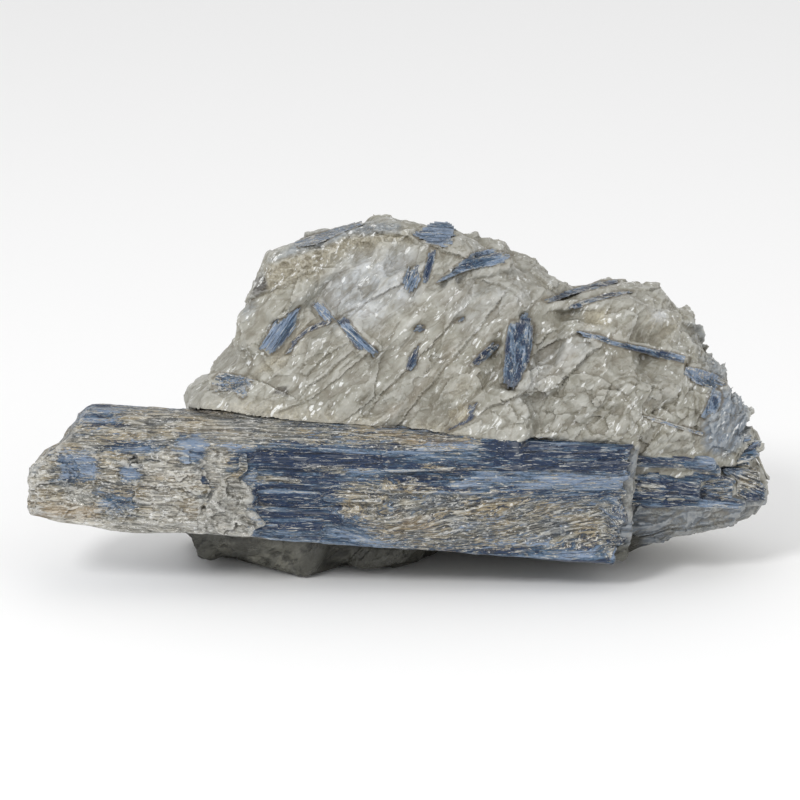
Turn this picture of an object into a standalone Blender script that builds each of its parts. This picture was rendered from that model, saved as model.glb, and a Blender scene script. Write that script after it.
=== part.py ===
"""Kyanite blade cluster: a long bundle of kyanite and many single blades grown in a mass of quartz.

Lengths are written in millimetres, and MM turns them into metres. +X runs to the right along the main
blade, +Y goes back into the quartz and +Z is up. The cluster rests on the flat of its foot, and its origin
is at the bottom centre of its box. Every blade sits in a pocket of its own shape, GAP clear of the stone.
"""
import math

import bmesh
import bpy
import numpy as np
from mathutils import Matrix, Vector
from mathutils.bvhtree import BVHTree
from mathutils.kdtree import KDTree

MM = 0.001
GAP = 0.35                     # clearance between neighbours, mm
GRAIN_ANGLE = 42.0             # the quartz has broken along slabs that climb to the right, degrees

# Quartz mass: its outline seen from the front (x, z), from the foot's left end round to its right end.
OUTLINE = [
    (-45, 0), (-47, 2), (-54, 2.5), (-57, 7), (-56, 46), (-53, 49), (-49, 52), (-46, 56), (-40, 58),
    (-42, 63), (-41, 70), (-38, 78), (-35, 82), (-32, 86), (-26, 87.5), (-15, 90.5), (-6, 92), (11, 91.5),
    (16, 89), (22, 85), (27, 84.5), (30, 81), (36, 80), (40, 79), (40, 76), (44, 74.5), (43, 72), (51, 74),
    (58, 75.5), (64, 75), (70, 73), (75, 67), (79, 65), (81, 59), (84, 57), (88, 52), (89, 47), (92, 43),
    (92, 39), (95, 34), (97, 22), (92, 14.5), (79, 10.5), (66, 6.5), (61, 3), (60, 0)]
FOOT_DEPTH = 33.0              # the back of the foot, behind the origin plane
CREST_THINNING = 16.0          # how far the back has come forward at the crest
CREST_HEIGHT = 93.0
EDGE_ROUND = 11.0              # the faces draw together this close to the outline

# Depth of the quartz's front face (x, y) at the foot, under the main blade and at the blade's top edge.
TOE = [(-57, -4), (-42, 0), (-34, -7), (-25, -17), (-20, -12), (-18, -5), (-2, -7), (6, -2), (9, 10),
       (61, 10)]
UNDER = [(-57, -13), (-40, -18), (8, -18), (14, -13), (58, -14), (64, -18), (76, -17), (94, -10)]
CONTACT = [(-56, -14), (-40, -20), (20, -28), (58, -26.5), (66, -20), (76, -17), (94, -8)]
LEAN = [(-45, 0.38), (10, 0.45), (45, 0.58), (90, 0.5)]        # how far it leans back for each mm up
UNDER_HEIGHT = 13.0
CONTACT_HEIGHT = 44.0

# How the quartz is shaped and broken up: the slab that is bent, the size of its voxels, then its chips as
# cell size (along the grain, through, across), lift, tilt and seed.
SLAB_HALF_DEPTH = 30.0
SHAPING_VOXEL = 1.7
CLEAN_VOXEL = 1.5
EDGE_FULLNESS = 0.58           # share of the full depth that is left right at the outline
EDGE_PLANE = 0.35              # the outline lies this share of the way from the front to the back
LARGE_CHIPS = ((19, 13, 9), 1.9, 0.17, 7)
SMALL_CHIPS = ((7, 6, 5), 0.6, 0.2, 8)
QUIET_FOOT = 4.0               # the chips fade out this close to the floor
FOOT_CUT = 0.4                 # height of the cut that makes the foot flat
QUARTZ_TRIANGLES = 2600

# Slabs of quartz that stand out of its front face: outline (x, z), and how far they stand out.
SLABS = [
    ([(-46, 61), (-42, 76), (-26, 82), (-19, 70), (-26, 67), (-33, 60)], 2.0),
    ([(-14, 89), (2, 90), (9, 88), (17, 85), (24, 90), (6, 96), (-20, 96)], 2.2),
    ([(-21, 69), (-6, 72), (8, 80), (18, 83), (14, 74), (2, 64), (-12, 56), (-32, 52)], 1.6),
    ([(20, 62), (31, 53), (40, 54), (50, 62), (47, 67), (41, 72), (28, 80), (22, 78)], 2.6),
    ([(46, 66), (62, 63), (76, 59), (84, 62), (76, 70), (60, 77), (44, 73)], 2.2),
    ([(-58, 50), (-38, 54), (-12, 50), (8, 45), (16, 44), (-56, 44)], 1.4)]
LUMPS = [(56, 44, 8, 2.2), (67, 46, 6, 2.0), (44, 45, 7, 1.6), (74, 52, 6, 1.5), (50, 54, 6, 1.2),
         (30, 46, 6, 1.5), (86, 64, 5, 1.5), (72, 71, 6, 1.4)]   # x, z, radius, height

# Main blade: section lines along x, as (x, y or z) pairs.
BLADE_LEFT = -97.5
BLADE_RIGHT = 61.5
BLADE_FRONT = -30.0
BLADE_BACK = -10.0
SOLE = [(-97, 22), (-78, 18.5), (-68, 17), (-52, 17.2), (-35, 15.4), (60, 8)]              # bottom edge, z
SHOULDER = [(-97, 41.0), (-40, 41.2), (3, 39.4), (20, 41.8), (62, 40.4)]    # top of the front face, z
RIDGE = [(-97, 48.0), (20, 42.3), (62, 40.8)]                  # top edge behind the bevel, z
RIDGE_DEPTH = [(-97, -20.5), (-20, -23), (20, -29.3), (62, -29.3)]          # the same edge, y
BANDS = 9                      # lamellae that show across the front face
BEVEL_BANDS = 3
BEVEL_START = 0.12             # share of the bevel that the rounded shoulder takes
BEVEL_STEP = 0.06              # its lamellae step this share of what those of the front do
BREAKS = [-84, -70, -52, -37, -20, -4, 14, 26, 40, 52]         # where lamellae end, x
LAMELLA_STEP = 1.3             # largest step between two lamellae
SHELF = 0.08                   # share of a lamella's height that the slope down to its neighbour takes
BREAK_WIDTH = 0.8              # length of the step where a lamella ends
CRUSTED_STRETCHES = 4          # stretches under the mica, where the front is plain
GROOVED_STRETCHES = slice(4, 7)
GROOVED_BANDS = slice(3, 7)
GROOVE_DEPTH = 0.7
PROUD_STRETCHES = slice(8, None)               # at the right the upper lamellae stand foremost
PROUD_BANDS = slice(7, 9)
END_RAKE = [(22, 0), (29, 0), (35, 1.4), (38, 4.5), (41, 9.5), (44, 13.5), (49, 17)]       # z, inset
LEFT_RAKE_REACH = 40.0
RIGHT_RAKE_REACH = 9.0
RIGHT_RAKE = [(8, 3.5), (14, 1.0), (20, 2.2), (27, 0.3), (33, 2.0), (40, 0.0)]             # z, inset

# Mica on the left of the main blade: outline (x, z), front depth and how crumpled it is.
CRUST_OUTLINE = [(-96.5, 23.5), (-95.5, 35.5), (-87, 40), (-58, 40.3), (-50, 38.5), (-47.5, 31), (-51, 25),
                 (-52, 18.6), (-60, 17.6), (-70, 18.6), (-82, 20.4)]
PLATES_OUTLINE = [(-50.5, 18.2), (-49.5, 26), (-45.5, 31.5), (-46, 38.5), (-41, 39.5), (-41.5, 33), (-39, 30),
                  (-38.6, 27), (-40, 24.6), (-36, 21.5), (-39, 17.4)]
MICA_SINK = 1.6                # the sheets start this deep, and the blade is then cut out of them
MICA_VOXEL = 0.9
MICA_FOLD = (9, 4, 3.2)        # size of the flats that the sheets are crumpled into
MICA_TURN = -8.0
MICA_TRIANGLES = 420

# Kyanite blades set in the quartz face: path of points (x, z), width, laths side by side, taper of the two
# ends, height above the stone, seed.
FACE_BLADES = {
    "left_blade": ([(-26, 73), (-35, 61)], 5.6, 4, (0.5, 0.7), 1.3, 3),
    "diagonal_blade_upper": ([(-22, 74.5), (-17.5, 69.5)], 3.6, 2, (0.9, 0.8), 0.9, 5),
    "diagonal_blade_lower": ([(-15.5, 70), (-5.5, 62)], 3.8, 3, (0.9, 0.6), 1.5, 8),
    "rim_blade": ([(-29.5, 62), (-26, 66), (-22.5, 68)], 1.4, 1, (0.6, 0.8), 1.0, 9),
    "top_blade_right": ([(10.2, 87), (7.4, 78.5)], 2.7, 2, (0.9, 0.8), 0.9, 11),
    "top_blade_left": ([(4.0, 83), (1.8, 77)], 3.4, 3, (0.9, 0.8), 0.9, 12),
    "crest_patch_blade": ([(3, 87), (12.5, 87)], 5.0, 3, (0.7, 0.8), 1.2, 14),
    "upper_rim_blade": ([(-27, 83.5), (-15, 87)], 3.2, 2, (0.6, 0.8), 0.9, 16),
    "centre_blade": ([(31.2, 72), (29.4, 53.6)], 6.8, 4, (0.75, 0.5), 2.2, 18),
    "thin_blade": ([(24.4, 64.6), (17.0, 59.6)], 1.8, 2, (0.7, 0.6), 1.3, 20),
    "kinked_blade": ([(5.4, 65), (5.0, 62), (2, 57.4)], 2.4, 1, (0.8, 0.9), 1.2, 22),
    "crystal_stub": ([(4.5, 68.5), (6.6, 68.9)], 2.0, 1, (0.9, 0.8), 1.0, 23),
    "tiny_blade": ([(14, 71), (17, 71.6)], 1.0, 1, (0.7, 0.6), 0.8, 24),
    "crack_blade": ([(13, 45.6), (18.4, 48.8), (19.5, 50.6)], 1.6, 1, (0.6, 0.9), 1.0, 26),
    "long_thin_blade": ([(47.5, 67), (63, 63), (76.5, 59)], 2.4, 2, (0.5, 0.8), 1.3, 28),
    "upper_right_blade_outer": ([(37.5, 74), (56, 76.5)], 2.0, 2, (0.6, 0.7), 1.4, 30),
    "upper_right_blade_inner": ([(45.5, 70.6), (61, 73.6)], 1.8, 2, (0.6, 0.6), 1.2, 32),
    "edge_blade_upper": ([(75.5, 56.6), (85, 53.5)], 4.2, 3, (0.8, 0.7), 1.2, 34),
    "edge_blade_lower": ([(82.4, 51.4), (79.6, 43.5)], 4.6, 4, (0.8, 0.5), 1.4, 36),
    "left_corner_blade": ([(-52, 53.6), (-42.5, 55.2)], 5.4, 4, (0.8, 0.7), 0.9, 38),
    "faint_blade": ([(63, 47.4), (75.5, 42.6)], 2.2, 2, (0.7, 0.6), 0.8, 40)}
CREST_FAN = [((8, -10.6, 79.0), (20, -10.4, 82.0)), ((10, -10.4, 80.2), (25.5, -9.4, 82.6)),
             ((12, -10.2, 80.8), (29.5, -8.6, 83.6)), ((15, -9.8, 82.2), (30, -7.8, 85.2)),
             ((18, -9.2, 83.8), (27.5, -7.4, 86.4))]             # laths that spread to the right
BACK_BLADES = {
    "back_blade_long": ([(-34, 66), (8, 40)], 7.5, 4, (0.6, 0.7), 1.8, 50),
    "back_blade_short": ([(30, 66), (52, 58)], 6.0, 3, (0.7, 0.6), 1.4, 52),
    "back_blade_low": ([(58, 38), (40, 22)], 5.0, 3, (0.7, 0.7), 1.3, 54)}
BLADE_SINK = 3.2               # how deep a set blade goes into the stone
JOINT_LAP = 0.6                # how far the legs of a bent blade run past their bend

# Stepped blades behind the main blade's right end: start and end of each lath, height and thickness.
RIGHT_LATHS = [
    ((55, -23.2, 35.8), (83.5, -20.6, 33.0), 3.2, 10), ((54, -21.0, 32.4), (85, -18.8, 30.2), 4.2, 12),
    ((55, -22.4, 28.4), (79.5, -20.6, 26.3), 6.4, 12), ((55, -21.6, 23.7), (92, -18.8, 21.6), 2.8, 11),
    ((55, -22.6, 20.6), (75, -20.6, 19.0), 3.4, 10), ((70, -18.6, 27.4), (89, -16.4, 25.6), 6.2, 11)]
END_LATHS = [((84, -16.4, 24.0), (98.4, -15.0, 23.6), 5.4, 8), ((84, -15.2, 28.2), (96.6, -14, 27.8), 4.2, 6)]
SPUR_LATHS = [
    ((82, -4, 29.5), (98.0, -8, 35.8), 2.8, 3), ((84, -5, 32.5), (95.0, -8, 37.6), 2.2, 3),
    ((83, -7, 31.0), (97.0, -10, 33.6), 2.4, 2.6), ((83, -5, 33.5), (90.0, -9, 38.0), 2.6, 3),
    ((84, -8, 28.0), (94.5, -11, 31.4), 3.0, 3.2), ((82, -7, 35.0), (85.5, -10, 40.5), 2.4, 3)]

QUARTZ = ((0.46, 0.42, 0.35), 0.45)
KYANITE = ((0.06, 0.11, 0.26), 0.38)
PALE_KYANITE = ((0.22, 0.28, 0.36), 0.42)
MICA = ((0.42, 0.34, 0.23), 0.35)
SILVER_MICA = ((0.45, 0.42, 0.36), 0.28)


def follow(pairs, value):
    """The value at this place along a list of (place, value) pairs, with straight runs between them."""
    places, values = zip(*pairs)
    return np.interp(value, places, values)


def clear_scene():
    for item in list(bpy.data.objects):
        bpy.data.objects.remove(item, do_unlink=True)


def new_collection(name):
    group = bpy.data.collections.new(name)
    bpy.context.scene.collection.children.link(group)
    return group


def stone_material(name, colour, roughness):
    """A Principled material with this colour and roughness."""
    material = bpy.data.materials.new(name)
    material.use_nodes = True
    shader = material.node_tree.nodes["Principled BSDF"]
    shader.inputs["Base Color"].default_value = (*colour, 1.0)
    shader.inputs["Roughness"].default_value = roughness
    shader.inputs["Metallic"].default_value = 0.0
    return material


def add_object(name, mesh, group, look=None):
    """An object for the mesh in the collection, with its own material."""
    item = bpy.data.objects.new(name, mesh)
    group.objects.link(item)
    if look:
        item.data.materials.clear()
        item.data.materials.append(stone_material(name, *look))
    return item


def mesh_from(name, bm):
    mesh = bpy.data.meshes.new(name)
    bm.to_mesh(mesh)
    bm.free()
    return mesh


def settle(item):
    """Swap the object's data for the mesh that its modifiers give."""
    bpy.context.view_layer.update()
    graph = bpy.context.evaluated_depsgraph_get()
    mesh = bpy.data.meshes.new_from_object(item.evaluated_get(graph))
    item.modifiers.clear()
    item.data = mesh


def keep_largest(item):
    """Drop the crumbs that a cut leaves, so that the object is one body."""
    bm = bmesh.new()
    bm.from_mesh(item.data)
    waiting = set(bm.verts)
    bodies = []
    while waiting:
        front = [waiting.pop()]
        body = set(front)
        while front:
            for edge in front.pop().link_edges:
                for vert in edge.verts:
                    if vert in waiting:
                        waiting.discard(vert)
                        body.add(vert)
                        front.append(vert)
        bodies.append(body)
    bodies.sort(key=len)
    for body in bodies[:-1]:
        bmesh.ops.delete(bm, geom=list(body), context="VERTS")
    bmesh.ops.recalc_face_normals(bm, faces=bm.faces)
    bm.to_mesh(item.data)
    bm.free()


def combine(item, other, operation, solver="EXACT"):
    """Apply one Boolean of the other object to this one."""
    cut = item.modifiers.new(operation, "BOOLEAN")
    cut.operation = operation
    cut.solver = solver
    cut.object = other
    settle(item)


def extruded_outline(name, points, near, far, group):
    """A flat outline in x and z, filled and extruded from y = near to y = far."""
    curve = bpy.data.curves.new(name, "CURVE")
    curve.dimensions = "2D"
    curve.fill_mode = "BOTH"
    curve.extrude = (far - near) / 2 * MM
    spline = curve.splines.new("POLY")
    spline.points.add(len(points) - 1)
    for point, (x, z) in zip(spline.points, points):
        point.co = (x * MM, z * MM, 0, 1)
    spline.use_cyclic_u = True
    drawn = add_object(name, curve, group)
    drawn.matrix_world = (Matrix.Translation((0, (near + far) / 2 * MM, 0))
                          @ Matrix.Rotation(math.radians(90), 4, "X"))
    bpy.context.view_layer.update()
    graph = bpy.context.evaluated_depsgraph_get()
    mesh = bpy.data.meshes.new_from_object(drawn.evaluated_get(graph))
    mesh.transform(drawn.matrix_world)
    bpy.data.objects.remove(drawn, do_unlink=True)
    bm = bmesh.new()
    bm.from_mesh(mesh)
    bmesh.ops.remove_doubles(bm, verts=bm.verts, dist=1e-6)
    bmesh.ops.recalc_face_normals(bm, faces=bm.faces)
    bm.to_mesh(mesh)
    bm.free()
    return mesh


def voxel_remesh(item, size):
    voxels = item.modifiers.new("voxels", "REMESH")
    voxels.mode = "VOXEL"
    voxels.voxel_size = size * MM
    settle(item)


def thin_out(item, triangles):
    """Collapse the mesh to about this many triangles, which leaves flat facets."""
    item.data.calc_loop_triangles()
    fewer = item.modifiers.new("facets", "DECIMATE")
    fewer.ratio = triangles / len(item.data.loop_triangles)
    settle(item)


def read_points(mesh):
    """The mesh's points in millimetres, and its normals at them."""
    count = len(mesh.vertices)
    points = np.empty(count * 3, np.float32)
    normals = np.empty(count * 3, np.float32)
    mesh.vertices.foreach_get("co", points)
    mesh.vertex_normals.foreach_get("vector", normals)
    return points.reshape(-1, 3).astype(float) / MM, normals.reshape(-1, 3).astype(float)


def write_points(mesh, points):
    mesh.vertices.foreach_set("co", (points * MM).astype(np.float32).ravel())
    mesh.update()


def chipped(points, cell, lift, tilt, seed, turn=0.0):
    """How far broken flats stand out at each point: every cell is one flat with its own lift and tilt."""
    rng = np.random.default_rng(seed)
    spin = np.array(Matrix.Rotation(math.radians(turn), 3, "Y"))
    placed = points @ spin.T / np.array(cell)
    low = placed.min(axis=0)
    high = placed.max(axis=0)
    count = int(np.prod(high - low)) + 1
    centres = rng.uniform(low, high, (count, 3))
    tilts = rng.normal(0, tilt, (count, 3))
    lifts = rng.uniform(-lift, lift, count)
    tree = KDTree(count)
    for index, centre in enumerate(centres):
        tree.insert(centre, index)
    tree.balance()
    nearest = np.array([tree.find(place)[1] for place in placed])
    reach = (placed - centres[nearest]) * np.array(cell)
    return lifts[nearest] + (reach * tilts[nearest]).sum(axis=1)


def outline_distance(x, z, points):
    """Distance of each (x, z) from the open line through the points, and whether it is inside them."""
    line = np.array(points, float)
    start, run = line[:-1], np.diff(line, axis=0)
    place = np.stack([x, z], axis=1)[:, None, :] - start
    along = np.clip((place * run).sum(axis=2) / (run * run).sum(axis=1), 0, 1)
    away = np.linalg.norm(place - along[..., None] * run, axis=2).min(axis=1)
    ends = np.roll(line, -1, axis=0)
    crosses = (line[:, 1] > z[:, None]) != (ends[:, 1] > z[:, None])
    rise = np.where(ends[:, 1] == line[:, 1], 1e-9, ends[:, 1] - line[:, 1])
    meets = line[:, 0] + (z[:, None] - line[:, 1]) * (ends[:, 0] - line[:, 0]) / rise
    inside = (crosses & (x[:, None] < meets)).sum(axis=1) % 2 == 1
    return away, inside


def quartz_front(x, z):
    """Depth of the quartz's front face before it is broken up."""
    contact = follow(CONTACT, x)
    above = contact + (z - CONTACT_HEIGHT) * follow(LEAN, x)
    under = follow(UNDER, x)
    toe = follow(TOE, x)
    low = toe + (under - toe) * np.clip(z / UNDER_HEIGHT, 0, 1) ** 0.6
    share = np.clip((z - UNDER_HEIGHT) / (CONTACT_HEIGHT - UNDER_HEIGHT), 0, 1)
    middle = under + (contact - under) * share
    return np.where(z > CONTACT_HEIGHT, above, np.where(z > UNDER_HEIGHT, middle, low))


def quartz_back(x, z):
    """Depth of the quartz's back, which comes forward to the crest and to both ends."""
    ends = 0.36 * ((x - 12) / 78) ** 2
    return FOOT_DEPTH * (1 - ends) - CREST_THINNING * (z / CREST_HEIGHT) ** 2


def quartz_relief(x, z):
    """How far slabs and lumps stand out of the front face."""
    raised = np.zeros(len(x))
    for outline, height in SLABS:
        away, inside = outline_distance(x, z, outline + outline[:1])
        raised += height * np.where(inside, np.clip(away / 1.5, 0, 1), 0)
    for lump_x, lump_z, radius, height in LUMPS:
        off = np.hypot(x - lump_x, z - lump_z) / radius
        raised += height * np.sqrt(np.clip(1 - off * off, 0, 1))
    return raised


def quartz_matrix(group):
    """The quartz mass: an outline, bent to its front and back, then chipped along the grain."""
    mesh = extruded_outline("quartz_matrix", OUTLINE, -SLAB_HALF_DEPTH, SLAB_HALF_DEPTH, group)
    item = add_object("quartz_matrix", mesh, group, QUARTZ)
    voxel_remesh(item, SHAPING_VOXEL)
    bend_slab(item)
    points, normals = read_points(item.data)
    facing = np.abs(normals[:, 1])                     # 1 on the front and back, 0 on the outline
    flats = chipped(points, *LARGE_CHIPS, GRAIN_ANGLE) * (1 + 2 * facing) / 3
    flats += chipped(points, *SMALL_CHIPS, GRAIN_ANGLE)
    firm = np.clip(points[:, 2] / QUIET_FOOT, 0, 1)
    write_points(item.data, points + normals * (flats * firm)[:, None])
    voxel_remesh(item, CLEAN_VOXEL)
    flatten_foot(item)
    thin_out(item, QUARTZ_TRIANGLES)
    return item


def bend_slab(item):
    """Move the flat slab's points to the quartz's front and back, which draw together at its outline."""
    points, _ = read_points(item.data)
    x, y, z = points.T
    share = np.clip((y / SLAB_HALF_DEPTH + 1) / 2, 0, 1)
    away, _ = outline_distance(x, z, OUTLINE)
    closeness = np.clip(away / EDGE_ROUND, 0, 1)
    fullness = EDGE_FULLNESS + (1 - EDGE_FULLNESS) * np.sqrt(1 - (1 - closeness) ** 2)
    front = quartz_front(x, z)
    depth = quartz_back(x, z) - front
    in_front = np.clip(1 - 2.5 * share, 0, 1)
    points[:, 1] = front + depth * (EDGE_PLANE + (share - EDGE_PLANE) * fullness)
    points[:, 1] -= in_front * quartz_relief(x, z)
    write_points(item.data, points)


def flatten_foot(item):
    """Cut the foot off flat at z = 0, which it rests on."""
    bm = bmesh.new()
    bm.from_mesh(item.data)
    everything = list(bm.verts) + list(bm.edges) + list(bm.faces)
    cut = bmesh.ops.bisect_plane(bm, geom=everything, plane_co=(0, 0, FOOT_CUT * MM),
                                 plane_no=(0, 0, 1), clear_inner=True)
    rim = [part for part in cut["geom_cut"] if isinstance(part, bmesh.types.BMEdge)]
    bmesh.ops.edgeloop_fill(bm, edges=rim)
    bmesh.ops.triangulate(bm, faces=[face for face in bm.faces if len(face.verts) > 4])
    bmesh.ops.recalc_face_normals(bm, faces=bm.faces)
    bm.to_mesh(item.data)
    bm.free()


def blade_section(x, depths, grow):
    """The main blade's section at x, as (y, z) points up the front, over the bevel and down the back."""
    sole = follow(SOLE, x) - grow
    shoulder = follow(SHOULDER, x) + grow / 2
    ridge = follow(RIDGE, x) + grow
    ridge_y = follow(RIDGE_DEPTH, x) - grow / 2
    front = BLADE_FRONT - grow
    ring = []
    for band in range(BANDS):
        for edge in (band + SHELF, band + 1 - SHELF):
            inset = depths[band]
            ring.append((front + inset, sole + (shoulder - sole) * edge / BANDS))
    for band in range(BEVEL_BANDS):
        for edge in (band + SHELF, band + 1 - SHELF):
            share = BEVEL_START + (1 - BEVEL_START) * edge / BEVEL_BANDS
            inset = BEVEL_STEP * depths[BANDS + band]
            ring.append((front + (ridge_y - front) * share + inset * (ridge - shoulder),
                         shoulder + (ridge - shoulder) * share - inset * (ridge_y - front)))
    back = BLADE_BACK + grow
    ring += [(ridge_y + 1.5, ridge + 0.3), (back, ridge - 0.3), (back + 1, ridge - 8)]
    ring += [(back + 0.5, sole + 9), (back - 2, sole + 0.6), ((front + back) / 2, sole - 0.2)]
    return ring


def lamella_depths():
    """For each stretch between two breaks, how far every lamella lies behind the front plane."""
    rng = np.random.default_rng(21)
    depths = rng.uniform(0, LAMELLA_STEP, (len(BREAKS) + 1, BANDS + BEVEL_BANDS))
    depths[:CRUSTED_STRETCHES, :BANDS] = 0
    depths[GROOVED_STRETCHES, GROOVED_BANDS] += GROOVE_DEPTH
    depths[PROUD_STRETCHES, PROUD_BANDS] = 0.1
    return depths


def main_blade_mesh(name, grow):
    """Loft the main blade's sections from its broken left end to its right end."""
    depths = lamella_depths()
    stations = [(BLADE_LEFT - grow, 0)]
    for stretch, place in enumerate(BREAKS):
        stations += [(place - BREAK_WIDTH / 2, stretch), (place + BREAK_WIDTH / 2, stretch + 1)]
    stations.append((BLADE_RIGHT + grow, len(BREAKS)))
    bm = bmesh.new()
    rings = []
    for x, stretch in stations:
        ring = []
        for y, z in blade_section(x, depths[stretch], grow):
            left_share = np.clip(1 - (x - BLADE_LEFT) / LEFT_RAKE_REACH, 0, 1)
            right_share = np.clip(1 - (BLADE_RIGHT - x) / RIGHT_RAKE_REACH, 0, 1)
            moved = x + follow(END_RAKE, z) * left_share - follow(RIGHT_RAKE, z) * right_share
            ring.append(bm.verts.new((moved * MM, y * MM, z * MM)))
        rings.append(ring)
    for ring, following in zip(rings, rings[1:]):
        for low in range(len(ring)):
            high = (low + 1) % len(ring)
            bm.faces.new((ring[low], following[low], following[high], ring[high]))
    for ring in (rings[0], rings[-1]):
        middle = sum((vert.co for vert in ring), Vector()) / len(ring)
        hub = bm.verts.new(middle)
        for low in range(len(ring)):
            bm.faces.new((ring[low], ring[(low + 1) % len(ring)], hub))
    bmesh.ops.triangulate(bm, faces=bm.faces)
    bmesh.ops.recalc_face_normals(bm, faces=bm.faces)
    return mesh_from(name, bm)


def lath_mesh(start, end, outward, width, thickness, taper=(1.0, 1.0), grow=0.0):
    """One flat lath between two points: `outward` is the way that its flat side faces."""
    start, end, outward = Vector(start), Vector(end), Vector(outward).normalized()
    along = (end - start).normalized()
    across = outward.cross(along).normalized()
    outward = along.cross(across)
    length = (end - start).length + 2 * grow
    bm = bmesh.new()
    bmesh.ops.create_cube(bm, size=1.0)
    for vert in bm.verts:
        side = taper[0] if vert.co.x < 0 else taper[1]
        place = (start + end) / 2 + along * vert.co.x * length
        place += across * vert.co.y * (width * side + 2 * grow)
        place += outward * vert.co.z * (thickness + 2 * grow)
        vert.co = place * MM
    bmesh.ops.recalc_face_normals(bm, faces=bm.faces)
    return mesh_from("lath", bm)


def joined(name, meshes, group, look=None):
    """One object from overlapping laths, united into one body."""
    item = add_object(name, meshes[0], group, look)
    for mesh in meshes[1:]:
        other = add_object("lath", mesh, group)
        combine(item, other, "UNION")
        bpy.data.objects.remove(other, do_unlink=True)
    keep_largest(item)
    return item


def stone_hit(tree, x, z, from_back):
    """Where a line along y meets the stone at this x and z, and the stone's normal there."""
    side = 1 if from_back else -1
    origin = Vector((x, side * 90, z)) * MM
    place, normal, _, _ = tree.ray_cast(origin, Vector((0, -side, 0)))
    if place is None:
        place, normal, _, _ = tree.find_nearest(Vector((x, side * 10, z)) * MM)
    return place / MM, normal


def stone_over(tree, hits, from_back, outward, proud):
    """How far a blade between these places has to come out so that the stone between them leaves it bare."""
    over = [0.0]
    for (start, _), (end, _) in zip(hits, hits[1:]):
        for share in np.linspace(0.1, 0.9, 7):
            place = start.lerp(end, share)
            stone, _ = stone_hit(tree, place.x, place.z, from_back)
            over.append((stone - place).dot(outward) - 0.3 * proud)
    return max(over)


def set_blade_laths(tree, spec, from_back, grow):
    """The laths of one blade that lies along the stone's face."""
    path, width, count, taper, proud, seed = spec
    rng = np.random.default_rng(seed)
    hits = [stone_hit(tree, x, z, from_back) for x, z in path]
    outward = sum((normal for _, normal in hits), Vector()).normalized()
    outward = (outward + Vector((0, 1 if from_back else -1, 0))).normalized()
    lift = outward * stone_over(tree, hits, from_back, outward, proud)
    meshes = []
    strip = width / count
    thickness = BLADE_SINK + proud
    for leg in range(len(hits) - 1):
        start, end = hits[leg][0], hits[leg + 1][0]
        along = (end - start).normalized()
        across = outward.cross(along).normalized()
        length = (end - start).length
        for lath in range(count):
            off = (lath - (count - 1) / 2) * strip
            lag = np.array([1 - taper[0], 1 - taper[1]]) * 0.5 * length * abs(off) / width
            lag += rng.uniform(0, 0.1, 2) * length if count > 1 else -0.5
            first = lag[0] if leg == 0 else -JOINT_LAP
            last = lag[1] if leg == len(hits) - 2 else -JOINT_LAP
            shift = across * off + outward * ((proud - BLADE_SINK) / 2 - rng.uniform(0, 0.28) * proud) + lift
            meshes.append(lath_mesh(start + along * first + shift, end - along * last + shift, outward,
                                    strip + 0.5, thickness, taper if count == 1 else (1, 1), grow))
    return meshes


def slanted_laths(laths, outward, grow):
    """Laths given by their own start, end, height and thickness, behind their front line."""
    meshes = []
    face = Vector(outward).normalized()
    for start, end, height, thickness in laths:
        back = -face * thickness / 2
        meshes.append(lath_mesh(Vector(start) + back, Vector(end) + back, face, height, thickness,
                                (1.0, 0.86), grow))
    return meshes


def crest_fan_laths(grow):
    """The blades that spread out along the crest."""
    return [lath_mesh(start, end, (0.1, -0.75, 0.6), 2.3, 3.4, (0.6, 0.9), grow) for start, end in CREST_FAN]


def mica_sheet(name, outline, front, crumple, seed, look, group):
    """A sheet of mica over the blade's front, crumpled on its outer side."""
    mesh = extruded_outline(name, outline, front, BLADE_FRONT + MICA_SINK, group)
    item = add_object(name, mesh, group, look)
    voxel_remesh(item, MICA_VOXEL)
    points, _ = read_points(item.data)
    outer = np.clip((BLADE_FRONT - points[:, 1]) / MICA_VOXEL, 0, 1)
    points[:, 1] -= outer * chipped(points, MICA_FOLD, crumple, 0.12, seed, MICA_TURN)
    write_points(item.data, points)
    thin_out(item, MICA_TRIANGLES)
    return item


def box_of(item):
    """The lowest and highest corner of the object's points."""
    corners = np.array([vert.co for vert in item.data.vertices])
    return corners.min(axis=0), corners.max(axis=0)


def carve(item, cutters, solver="EXACT"):
    """Cut out of the item, one after another, those of these objects that reach it."""
    for cutter in cutters:
        low, high = box_of(item)
        other_low, other_high = box_of(cutter)
        if (low < other_high).all() and (other_low < high).all():
            combine(item, cutter, "DIFFERENCE", solver)
    keep_largest(item)


def centre_on_floor(group):
    """Move everything so that the box's bottom centre is the origin."""
    corners = np.array([item.matrix_world @ vert.co for item in group.objects for vert in item.data.vertices])
    low, high = corners.min(axis=0), corners.max(axis=0)
    shift = Matrix.Translation((-(low[0] + high[0]) / 2, -(low[1] + high[1]) / 2, -low[2]))
    for item in group.objects:
        item.data.transform(shift)


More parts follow.
